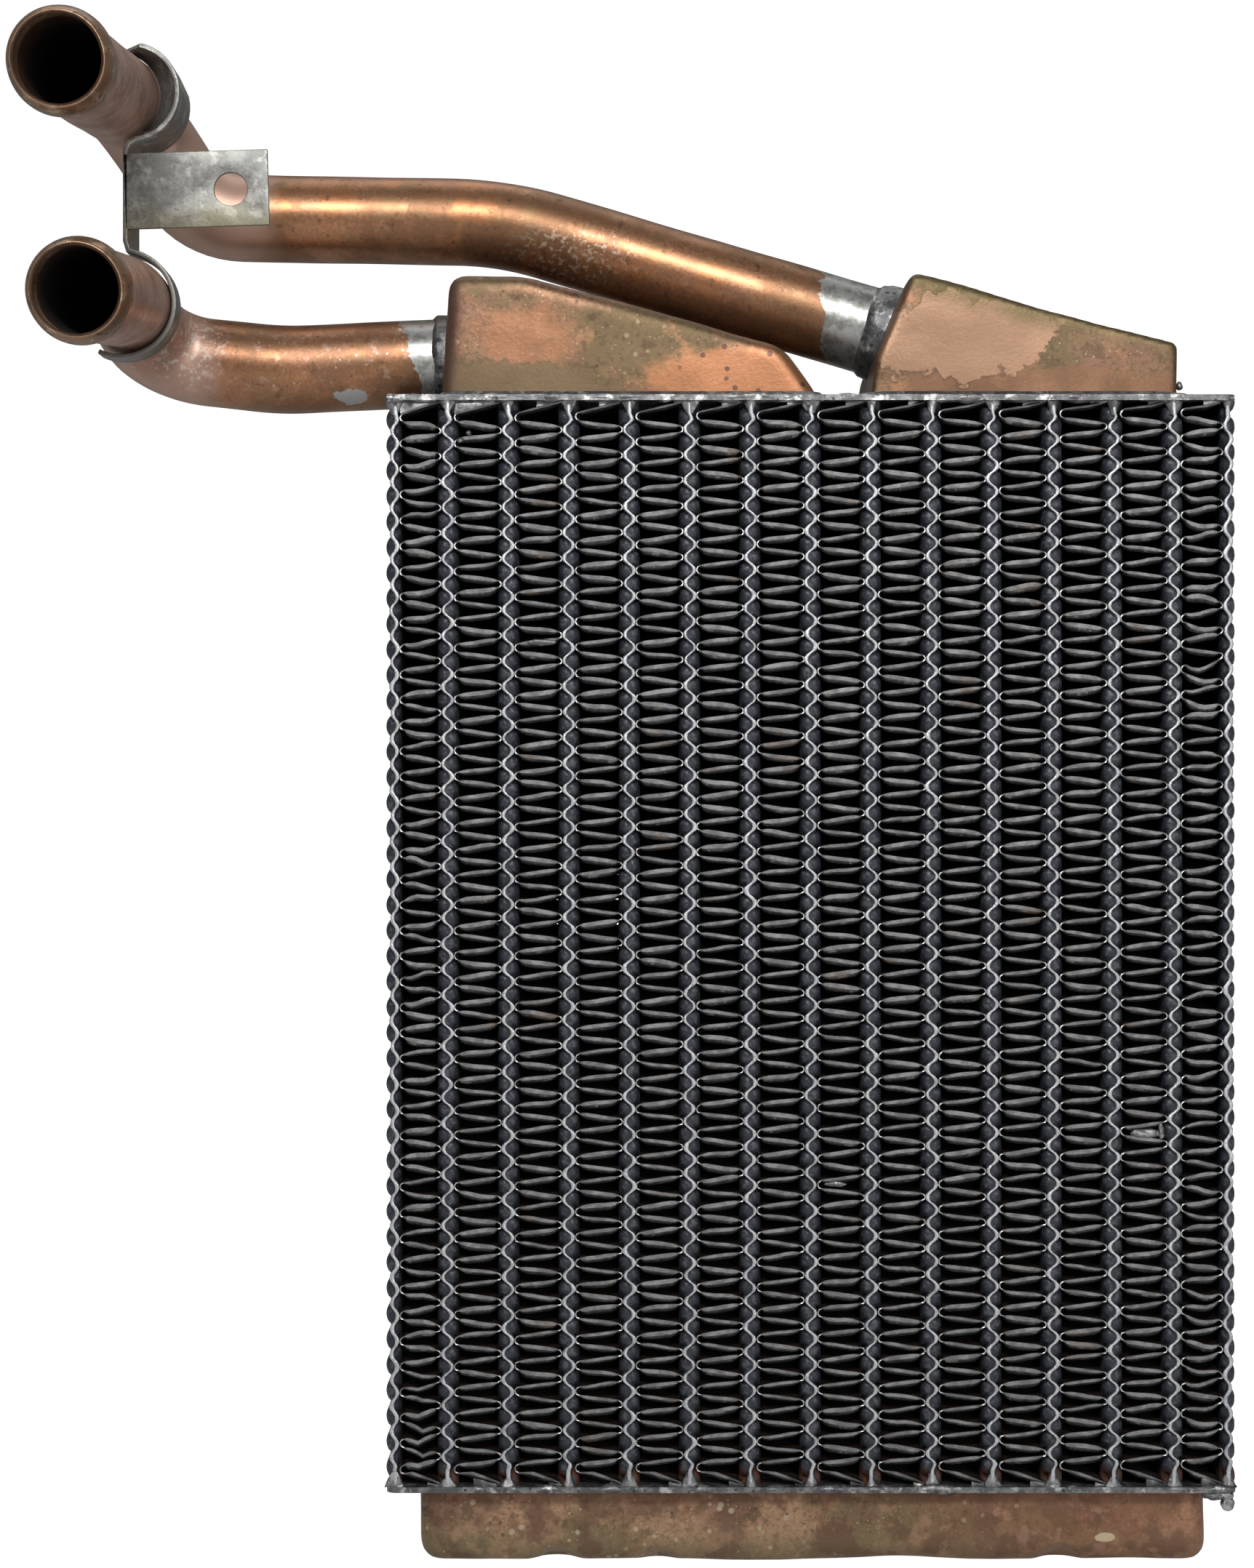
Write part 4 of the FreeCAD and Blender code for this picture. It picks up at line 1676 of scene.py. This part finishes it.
    def tab(self) -> Piece:
        """The flat lug, with its screw hole cut through."""
        length, height = self.tab_size
        from_strip, below_top, radius = self.hole
        tilt = math.radians(self.tab_tilt)
        corner = Vector((self.strip_x - self.thickness / 2, self.front + self.thickness / 2,
                         self.tab_top))
        turn = Matrix.Rotation(-tilt, 3, "Y")
        middle = corner + turn @ Vector((length / 2, 0, -height / 2))
        hole = corner + turn @ Vector((from_strip, 0, -below_top))
        deselect_all()
        bpy.ops.mesh.primitive_cylinder_add(vertices=48, radius=radius * MM, depth=4 * MM,
                                            location=hole * MM, rotation=(math.pi / 2, 0, 0))
        drill = named("drill")
        settle(drill)
        deselect_all()
        bpy.ops.mesh.primitive_cube_add(size=1, location=middle * MM, rotation=(0, -tilt, 0))
        tab = named("strap_tab")
        tab.scale = (length * MM, self.thickness * MM, height * MM)
        settle(tab)
        apply_modifier(tab, "BOOLEAN", object=drill, operation="DIFFERENCE", solver="EXACT")
        bpy.data.objects.remove(drill)
        apply_modifier(tab, "BEVEL", width=0.18 * MM, segments=3, limit_method="ANGLE",
                       angle_limit=math.radians(40))
        smooth(tab, 40)
        return tab


# ---------------------------------------------------------------- finishes

SOLDER_GREY: Colour = (0.36, 0.36, 0.35)


def make_groups() -> None:
    """Build every shared node group once."""
    for maker in (blotch_group, speck_group, zone_group, slab_group, depth_group, grain_group):
        LOG.info("group %s", maker().name)


def core_finishes() -> tuple[Material, ...]:
    """Finishes of the ribbons, the side ribbons' outside, the fins and the solder; the ribbons and
    fins carry painted shade and painted highlights by depth.
    """
    # Near black, painted as shade deep inside the core.
    inside: Colour = (0.005, 0.003, 0.0025)
    tin = Finish(
        name="tinned_ribbon_metal", base=(0.46, 0.47, 0.48), metallic=0.75, rough=0.38, grain=1.4,
        bump=0.5,
        layers=(
            Stain(colour=(0.2, 0.205, 0.22), strength=0.6, scale=0.5, level=0.55, soft=0.12),
            Stain(colour=(0.7, 0.7, 0.68), strength=0.5, rough=0.3, scale=0.25, level=0.62,
                  soft=0.06),
            # Painted shade: the lips' sides and the pockets turn near black below the open face,
            # with lighter spots in it.
            Deep(colour=(0.024, 0.026, 0.033), rough=0.3, metallic=0.2, start=0.3, end=0.75),
            Stain(colour=(0.075, 0.078, 0.088), strength=0.7, scale=0.8, level=0.56, soft=0.06,
                  within=Deep(start=0.3, end=0.75)),
            Border(colour=(0.09, 0.035, 0.018), strength=0.9, rough=0.6, axis=(0.0, 0.0, -1.0),
                   start=-21.5,
                   end=-19.5, rag=2.0, within=Deep(start=0.8, end=1.5)),
            # Painted shade: near black deeper inside the core.
            Deep(colour=inside, rough=0.9, metallic=0.0, start=2.2, end=3.6),
        ))
    foil = Finish(
        name="fin_foil_metal", base=(0.31, 0.31, 0.31), metallic=0.75, rough=0.34, grain=1.8,
        bump=0.3,
        stretch=(0.35, 1.0, 1.0),
        layers=(
            Stain(colour=(0.12, 0.12, 0.125), strength=0.7, scale=0.35, level=0.5, soft=0.12),
            # Painted shade: the strip behind each fold's front edge is painted dark grey, with
            # darker spots in it.
            Deep(colour=(0.056, 0.057, 0.061), rough=0.36, start=0.4, end=0.52),
            Stain(colour=(0.022, 0.022, 0.025), strength=0.8, scale=0.6, level=0.5, soft=0.08,
                  within=Deep(start=0.4, end=0.52)),
            # Painted highlight: light streaks on the darker strip behind each fold's front edge.
            Stain(colour=(0.26, 0.245, 0.215), strength=0.7, rough=0.28, scale=0.3, level=0.63,
                  soft=0.05,
                  within=Deep(start=0.4, end=0.52)),
            Stain(colour=(0.17, 0.115, 0.07), strength=0.4, scale=0.09, level=0.63, soft=0.05),
            # Painted highlight: a bright line along the bead's crease, from about 0.9 to 1.4 mm
            # deep.
            Deep(colour=(0.29, 0.29, 0.29), rough=0.3, strength=0.8, start=0.92, end=1.0),
            # Painted shade: dark brownish past the crease, deeper in the core.
            Deep(colour=(0.035, 0.022, 0.016), rough=0.4, start=1.25, end=1.4),
            # Painted shade: near black deeper inside the core.
            Deep(colour=inside, rough=0.9, metallic=0.0, start=2.8, end=5.5),
        ))
    solder = Finish(
        name="dull_solder", base=(0.2, 0.2, 0.2), metallic=0.8, rough=0.36, grain=0.9, bump=0.8,
        layers=(
            Stain(colour=(0.06, 0.06, 0.062), strength=0.75, scale=0.35, level=0.48, soft=0.1),
            Stain(colour=(0.55, 0.55, 0.53), strength=0.7, rough=0.25, scale=0.3, level=0.6,
                  soft=0.06),
            Specks(colour=(0.03, 0.025, 0.02), strength=0.8, scale=0.6, size=0.34, share=0.35),
        ))
    side_tin = Finish(
        name="tinned_side_metal", base=(0.2, 0.2, 0.205), metallic=0.75, rough=0.42, grain=1.2,
        bump=0.5,
        layers=(
            Stain(colour=(0.09, 0.09, 0.1), strength=0.7, scale=0.2, level=0.52, soft=0.1),
            Stain(colour=(0.4, 0.4, 0.39), strength=0.6, rough=0.32, scale=0.3, level=0.62,
                  soft=0.06),
            Stain(colour=(0.12, 0.07, 0.04), strength=0.5, scale=0.1, level=0.62, soft=0.06),
        ))
    return tin.build(), side_tin.build(), foil.build(), solder.build()


def tank_layers(shade: float) -> tuple[Layer, ...]:
    """Patina that every tank has.

    Args:
        shade: brightness of the pale spots.

    Returns:
        The layers.
    """
    return (
        Stain(colour=(0.115, 0.088, 0.045), strength=0.75, rough=0.55, scale=0.045, level=0.5,
              soft=0.06),
        Stain(colour=(0.15, 0.078, 0.055), strength=0.65, scale=0.08, level=0.56, soft=0.05),
        Stain(colour=(0.26, 0.125, 0.065), strength=0.5, rough=0.36, scale=0.11, level=0.6,
              soft=0.03, detail=8.0),
        Stain(colour=(0.065, 0.04, 0.025), strength=0.6, scale=0.24, level=0.6, soft=0.06,
              detail=8.0),
        Stain(colour=(0.06, 0.04, 0.025), strength=0.5, scale=0.9, level=0.58, soft=0.08),
        Specks(colour=(shade, shade * 0.8, shade * 0.48), strength=0.5, scale=0.45, size=0.24,
               share=0.35),
        Specks(colour=(shade, shade * 0.85, shade * 0.6), strength=0.5, scale=1.1, size=0.24,
               share=0.2),
        Specks(colour=(0.05, 0.03, 0.025), strength=0.7, scale=0.3, size=0.17, share=0.35),
    )


def tank_finishes() -> tuple[Material, Material, Material]:
    """Finishes of the left, the right and the return tank."""
    left = Finish(
        name="left_tank_brass", base=(0.18, 0.098, 0.057), metallic=0.7, rough=0.4, grain=1.1,
        bump=0.3,
        layers=tank_layers(0.3) + (
            Patch(colour=(0.3, 0.128, 0.06), strength=0.8, rough=0.34, centre=(-14.0, -22.0, 250.0),
                  size=(20.0, 14.0, 6.5), edge=0.25, rag=1.4, rag_scale=0.2),
            Patch(colour=(0.25, 0.115, 0.06), strength=0.65, centre=(-60.0, -22.0, 259.0),
                  size=(10.0, 12.0, 6.0),
                  edge=0.3, rag=1.5, rag_scale=0.22),
            Patch(colour=(0.05, 0.038, 0.02), strength=0.6, centre=(-66.0, -22.0, 247.5),
                  size=(25.5, 14.0, 6.0), edge=0.08, rag=1.5, rag_scale=0.25),
            Patch(colour=(0.155, 0.108, 0.06), strength=0.65, rough=0.54,
                  centre=(-66.0, -22.0, 247.5),
                  size=(24.5, 14.0, 5.6), edge=0.08, rag=1.5, rag_scale=0.25),
            Border(colour=(0.14, 0.08, 0.065), strength=0.6, axis=(-1.0, 0.0, 0.0), start=73.0,
                   end=78.0),
            Specks(colour=(0.05, 0.03, 0.025), strength=0.8, scale=0.42, size=0.26, share=0.35,
                   within=Border(axis=(1.0, 0.0, 0.0), start=-34.0, end=-24.0)),
        )).build()
    right = Finish(
        name="right_tank_brass", base=(0.155, 0.092, 0.053), metallic=0.7, rough=0.4, grain=1.1,
        bump=0.3,
        layers=tank_layers(0.3) + (
            Patch(colour=(0.165, 0.084, 0.048), strength=0.75, centre=(48.0, -22.0, 247.0),
                  size=(32.0, 16.0, 5.5),
                  edge=0.12, rag=1.2, rag_scale=0.14),
            Patch(colour=(0.07, 0.04, 0.025), strength=0.9, centre=(31.0, -22.0, 258.6),
                  size=(22.8, 16.0, 8.6), edge=0.05, rag=1.6, rag_scale=0.16),
            Patch(colour=(0.245, 0.145, 0.091), strength=0.95, rough=0.36,
                  centre=(31.0, -22.0, 258.6),
                  size=(22.0, 16.0, 8.2), edge=0.05, rag=1.6, rag_scale=0.16),
            Border(colour=(0.105, 0.08, 0.038), strength=0.85, axis=(0.25, 0.0, 0.97), start=264.0,
                   end=269.0,
                   rag=8.0, rag_scale=0.1),
        )).build()
    bottom = Finish(
        name="return_tank_brass", base=(0.33, 0.2, 0.12), metallic=0.6, rough=0.46, grain=1.2,
        bump=0.4,
        layers=tank_layers(0.42) + (
            Border(colour=(0.19, 0.15, 0.085), strength=0.6, axis=(0.0, 0.0, -1.0), start=-9.0,
                   end=-3.0, rag=5.0),
            Border(colour=(0.24, 0.1, 0.06), strength=0.45, axis=(1.0, 0.0, 0.0), start=10.0,
                   end=60.0, rag=40.0,
                   rag_scale=0.05),
            Stain(colour=(0.12, 0.066, 0.042), strength=0.65, scale=0.13, level=0.54, soft=0.05,
                  detail=8.0),
            Stain(colour=(0.34, 0.2, 0.13), strength=0.5, rough=0.36, scale=0.2, level=0.6,
                  soft=0.05, detail=8.0),
            Specks(colour=(0.42, 0.37, 0.25), strength=0.7, scale=0.5, size=0.3, share=0.5,
                   within=Border(axis=(-1.0, 0.0, -0.5), start=-20.0, end=20.0, rag=20.0)),
            Patch(colour=(0.5, 0.42, 0.27), strength=0.85, centre=(61.4, -22.0, 5.6),
                  size=(2.1, 9.0, 1.0),
                  edge=0.12, rag=0.6, rag_scale=0.6),
            Border(colour=(0.12, 0.05, 0.03), strength=0.6, axis=(0.0, 0.0, 1.0), start=12.0,
                   end=15.0, rag=5.0),
        )).build()
    return left, right, bottom


def pipe_finish(name: str, collar: Point, along: Point, dull: float,
                extra: tuple[Layer, ...]) -> Material:
    """Finish of a pipe: warm copper, brown at its hose end, wetted with solder beside its collar.

    Args:
        name: the material's name.
        collar: where the solder's border crosses the pipe's centre line.
        along: the pipe's direction there, towards the tank.
        dull: where the hose end's dull skin starts to fade in, to the left of the middle.
        extra: layers of this pipe only.

    Returns:
        The material.
    """
    tilted = (along[0], along[1], along[2] + 0.3)
    start = sum(a * b for a, b in zip(collar, tilted))
    hose_end = Border(axis=(0.0, -1.0, 0.0), start=2.0, end=16.0)
    bead = Border(axis=(0.0, -1.0, 0.0), start=65.5, end=68.0)
    layers = (
        Stain(colour=(0.15, 0.08, 0.042), strength=0.7, rough=0.46, scale=0.06, level=0.5,
              soft=0.08),
        Stain(colour=(0.2, 0.13, 0.065), strength=0.5, scale=0.14, level=0.56, soft=0.06,
              detail=8.0),
        Stain(colour=(0.42, 0.17, 0.075), strength=0.55, rough=0.3, scale=0.07, level=0.6,
              soft=0.05),
        Stain(colour=(0.06, 0.035, 0.022), strength=0.6, scale=0.5, level=0.63, soft=0.06,
              detail=8.0),
        Specks(colour=(0.4, 0.33, 0.25), strength=0.4, scale=1.2, size=0.22, share=0.1),
        Border(colour=(0.4, 0.262, 0.205), strength=0.9, rough=0.42, metallic=0.5,
               axis=(-1.0, -0.3, 0.0),
               start=dull, end=dull + 10.0, rag=10.0, rag_scale=0.1),
        Stain(colour=(0.25, 0.13, 0.085), strength=0.7, scale=0.12, level=0.52, soft=0.08,
              detail=6.0,
              within=hose_end),
        Stain(colour=(0.5, 0.38, 0.32), strength=0.5, rough=0.34, scale=0.4, level=0.6, soft=0.06,
              detail=6.0,
              within=hose_end),
        Specks(colour=(0.62, 0.52, 0.44), strength=0.7, scale=0.9, size=0.24, share=0.16,
               within=hose_end),
        Border(colour=(0.22, 0.13, 0.07), strength=0.85, rough=0.3, axis=(0.0, -1.0, 0.0),
               start=65.0, end=68.0,
               metallic=0.8),
        # Painted highlight: bright glints on the bead.
        Stain(colour=(0.5, 0.36, 0.24), strength=0.6, rough=0.22, scale=0.3, level=0.58, soft=0.05,
              detail=6.0,
              within=bead),
        Stain(colour=(0.05, 0.042, 0.028), strength=0.7, rough=0.4, scale=0.35, level=0.6,
              soft=0.05, detail=6.0,
              within=bead),
        *extra,
        Border(colour=SOLDER_GREY, rough=0.36, axis=tilted, start=start - 0.15, end=start + 0.15,
               rag=8.0,
               rag_scale=0.2),
        Stain(colour=(0.17, 0.165, 0.14), strength=0.7, scale=0.45, level=0.52, soft=0.08,
              within=Border(axis=tilted, start=start, end=start + 1.0)),
    )
    return Finish(name=name, base=(0.3, 0.148, 0.08), metallic=0.85, rough=0.34, grain=1.3,
                  bump=0.2,
                  layers=layers).build()


def pipe_finishes() -> tuple[Material, Material]:
    """Finishes of the upper and the lower pipe."""
    flakes = Stain(scale=0.8, level=0.56, soft=0.04, detail=6.0)
    upper = pipe_finish("upper_pipe_copper", (3.5, 3.5, 267.4), (0.95, -0.097, -0.298), 114.0, (
        Patch(colour=(0.55, 0.46, 0.36), strength=0.55, rough=0.5, centre=(-52.0, 0.0, 280.0),
              size=(14.0, 12.0, 6.0), edge=0.4, rag=0.8, rag_scale=0.5, within=flakes),
    ))
    lower = pipe_finish("lower_pipe_copper", (-86.0, -0.6, 256.4), (0.9988, 0.013, 0.0469), 126.0, (
        Patch(colour=(0.5, 0.44, 0.38), strength=0.6, rough=0.6, centre=(-134.5, -8.0, 259.0),
              size=(8.0, 14.0, 9.0), edge=0.3, rag=0.7, rag_scale=0.3, within=flakes),
        Patch(colour=SOLDER_GREY, rough=0.42, centre=(-98.9, -6.0, 248.4), size=(3.4, 8.0, 1.5),
              edge=0.1,
              rag=1.3, rag_scale=0.5),
    ))
    return upper, lower


def bore_finish() -> Material:
    """Finish of the pipes' inside: brown at the mouth, then painted shade fading to nearly black
    deeper in.
    """
    return Finish(
        name="blackened_bore", base=(0.05, 0.026, 0.017), metallic=0.4, rough=0.5, grain=1.0,
        bump=0.3,
        layers=(
            Stain(colour=(0.09, 0.045, 0.026), strength=0.6, scale=0.2, level=0.55, soft=0.08),
            # Painted shade: the bore turns nearly black deeper in from the mouth.
            Border(colour=(0.006, 0.004, 0.003), rough=0.8, metallic=0.0, axis=(0.0, 1.0, 0.0),
                   start=-76.0,
                   end=-58.0, rag=6.0),
        )).build()


def zinc_finish() -> Material:
    """Finish of the strap: dull zinc, yellowed low down."""
    return Finish(
        name="weathered_zinc", base=(0.225, 0.225, 0.21), metallic=0.6, rough=0.45, grain=1.2,
        bump=0.2,
        layers=(
            Stain(colour=(0.12, 0.12, 0.115), strength=0.7, scale=0.2, level=0.5, soft=0.08),
            Stain(colour=(0.38, 0.37, 0.35), strength=0.6, scale=0.35, level=0.58, soft=0.06),
            Border(colour=(0.22, 0.195, 0.105), strength=0.6, axis=(0.0, 0.0, -1.0), start=-289.0,
                   end=-281.0,
                   rag=10.0, rag_scale=0.12),
            Border(colour=(0.15, 0.145, 0.135), strength=0.9, rough=0.36, axis=(0.0, 0.0, -1.0),
                   start=-280.8,
                   end=-279.6),
            Stain(colour=(0.07, 0.06, 0.05), strength=0.5, scale=1.0, level=0.64, soft=0.05),
        )).build()


# ---------------------------------------------------------------- stage, light and camera


@dataclass(frozen=True)
class Softbox:
    """A soft rectangular light.

    Attributes:
        name: the light's name.
        place: its place in millimetres.
        size: its width and height in metres.
        power: its power in watts.
        aim: the point it faces, in millimetres.
    """

    name: str
    place: Point
    size: Pair
    power: float
    aim: Point

    def build(self) -> None:
        """Set up the light."""
        light = bpy.data.lights.new(self.name, "AREA")
        light.shape = "RECTANGLE"
        light.size, light.size_y = self.size
        light.energy = self.power
        lamp = bpy.data.objects.new(self.name, light)
        bpy.context.scene.collection.objects.link(lamp)
        lamp.location = Vector(self.place) * MM
        direction = (Vector(self.aim) - Vector(self.place)).normalized()
        lamp.rotation_euler = direction.to_track_quat("-Z", "Y").to_euler()


@dataclass
class Studio:
    """Pale floor, soft light and the camera.

    Attributes:
        camera_place: the camera's place, in millimetres; it looks along +Y.
        lens: focal length.
        sensor: size of the sensor along the frame's height.
        softboxes: the lights.
        floor_size: length of the floor's sides, in metres.
        surroundings: strength of the surroundings as light, and as the camera sees them.
    """

    camera_place: Point = (-39.37, -585.4, 164.48)
    lens: float = 61.34
    sensor: float = 36.0
    softboxes: tuple[Softbox, ...] = (
        Softbox("key_softbox", (-60, -900, 720), (0.55, 0.16), 9.0, (-30, 0, 200)),
        Softbox("front_fill", (500, -1100, 260), (0.7, 0.7), 3.8, (0, 0, 150)),
        Softbox("top_light", (-150, 250, 1100), (0.8, 0.5), 1.8, (-30, 0, 200)),
    )
    floor_size: float = 12.0
    surroundings: Pair = (0.22, 1.05)

    def build(self) -> None:
        """Set up the floor, the light and the camera."""
        self.floor()
        self.world()
        for softbox in self.softboxes:
            softbox.build()
        self.camera()
        bpy.context.scene.view_settings.view_transform = "Standard"

    def floor(self) -> None:
        """A wide white floor that stays near white under the object."""
        deselect_all()
        bpy.ops.mesh.primitive_plane_add(size=self.floor_size, location=(0, 0, -0.0002))
        floor = named("studio_floor")
        material = bpy.data.materials.new("white_floor")
        material.use_nodes = True
        shader = material.node_tree.nodes["Principled BSDF"]
        shader.inputs["Base Color"].default_value = (0.8, 0.8, 0.8, 1)
        shader.inputs["Roughness"].default_value = 0.9
        graph = Graph(material.node_tree)
        seen = graph.node("ShaderNodeLightPath").outputs["Is Camera Ray"]
        glow = graph.blend(seen, (0.0, 0.0, 0.0, 1), (1, 1, 1, 1))
        graph.tree.links.new(glow, shader.inputs["Emission Color"])
        shader.inputs["Emission Strength"].default_value = 1.0
        floor.data.materials.append(material)

    def world(self) -> None:
        """White surroundings that throw less light than the camera sees."""
        world = bpy.data.worlds.new("white_surroundings")
        bpy.context.scene.world = world
        world.use_nodes = True
        world.node_tree.nodes.clear()
        graph = Graph(world.node_tree)
        seen = graph.node("ShaderNodeLightPath").outputs["Is Camera Ray"]
        soft, white = (graph.node("ShaderNodeBackground",
                                  {"Color": (1, 1, 1, 1), "Strength": strength})
                       for strength in self.surroundings)
        mixed = graph.node("ShaderNodeMixShader", {0: seen, 1: soft.outputs[0],
                                                   2: white.outputs[0]})
        graph.node("ShaderNodeOutputWorld", {"Surface": mixed.outputs[0]})

    def camera(self) -> None:
        """The camera, level and square to the core's front."""
        data = bpy.data.cameras.new("front_camera")
        data.sensor_fit = "VERTICAL"
        data.sensor_height = self.sensor
        data.lens = self.lens
        data.clip_start = 0.01
        camera = bpy.data.objects.new("front_camera", data)
        bpy.context.scene.collection.objects.link(camera)
        camera.location = Vector(self.camera_place) * MM
        camera.rotation_euler = (math.pi / 2, 0, 0)
        bpy.context.scene.camera = camera


UPPER_ROUTE: tuple[Point, ...] = (
    (-147.5, -78.9, 302.1), (-149.1, 7.1, 314.3), (-134.4, 10.6, 290.8), (-66.8, 10.6, 289.5),
    (16.7, 2.1, 263.3))
LOWER_ROUTE: tuple[Point, ...] = (
    (-145.2, -73.4, 259.3), (-145.6, -17.4, 266.8), (-142.0, 1.6, 258.1), (-114.8, -0.9, 254.9),
    (-76.5, -0.4, 256.7))


def build_tanks() -> None:
    """Model and dress the three tanks."""
    left, right, bottom = tank_finishes()
    PressedTank("pressed_tank_left", "top_tank_left", (
        ((-78.7, 246.1), (-0.998, 0.065)), ((-61.0, 272.1), (0.259, 0.966)),
        ((-6.2, 257.4), (0.823, 0.568)),
    ), rounding=4.6, seed=1.0).build(left)
    PressedTank("pressed_tank_right", "top_tank_right", (
        ((12.6, 250.6), (-0.982, 0.19)), ((17.3, 264.0), (-0.92, 0.392)),
        ((20.9, 272.6), (0.259, 0.966)),
    ), rounding=5.2, seed=6.0).build(right)
    PressedTank("pressed_tank_return", "return_tank", rounding=4.2, open_up=True, seed=11.0, dents=(
        ((-54.2, -21.0, 0.0), 6.5, 2.2), ((-32.6, -21.0, 0.0), 5.0, 1.6),
        ((51.8, -21.0, 0.0), 6.0, 2.4),
        ((20.0, -21.5, 0.0), 14.0, 0.5),
    )).build(bottom)


def build_pipes(solder: Material) -> None:
    """Model and dress both pipes and their collars."""
    upper_copper, lower_copper = pipe_finishes()
    upper = BentPipe("copper_pipe_upper", "pipe_upper", UPPER_ROUTE, (14.0, 17.0, 70.0))
    lower = BentPipe("copper_pipe_lower", "pipe_lower", LOWER_ROUTE, (22.0, 13.0, 60.0))
    bore = bore_finish()
    upper.build(upper_copper, bore)
    lower.build(lower_copper, bore)
    upper.collar("solder_collar_upper", "collar_upper",
                 ((-2.0, 10.9), (0.6, 10.7), (1.8, 10.4), (2.6, 10.3), (3.2, 9.8), (3.9, 9.4)),
                 solder)
    lower.collar("solder_collar_lower", "collar_lower",
                 ((-3.0, 11.0), (-0.6, 10.6), (0.6, 10.35), (3.6, 10.35), (4.0, 10.2), (4.4, 9.8),
                  (5.0, 9.4)), solder)


def dress_tank_solder(solder: Material) -> None:
    """Give the solder beads at the top tanks' feet their finish."""
    for node in ("solder_bead_left_tank", "solder_bead_right_tank"):
        dress(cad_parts[node], solder)


def main() -> None:
    """Build the heater core's looks, one sub-assembly after another."""
    logging.basicConfig(level=logging.INFO, format="%(name)s %(message)s")
    make_groups()
    tin, side_tin, foil, solder = core_finishes()
    Core().build(tin, side_tin, foil, solder)
    build_tanks()
    build_pipes(solder)
    dress_tank_solder(solder)
    PipeStrap().build(zinc_finish())
    Studio().build()


if __name__ == "__main__":
    main()
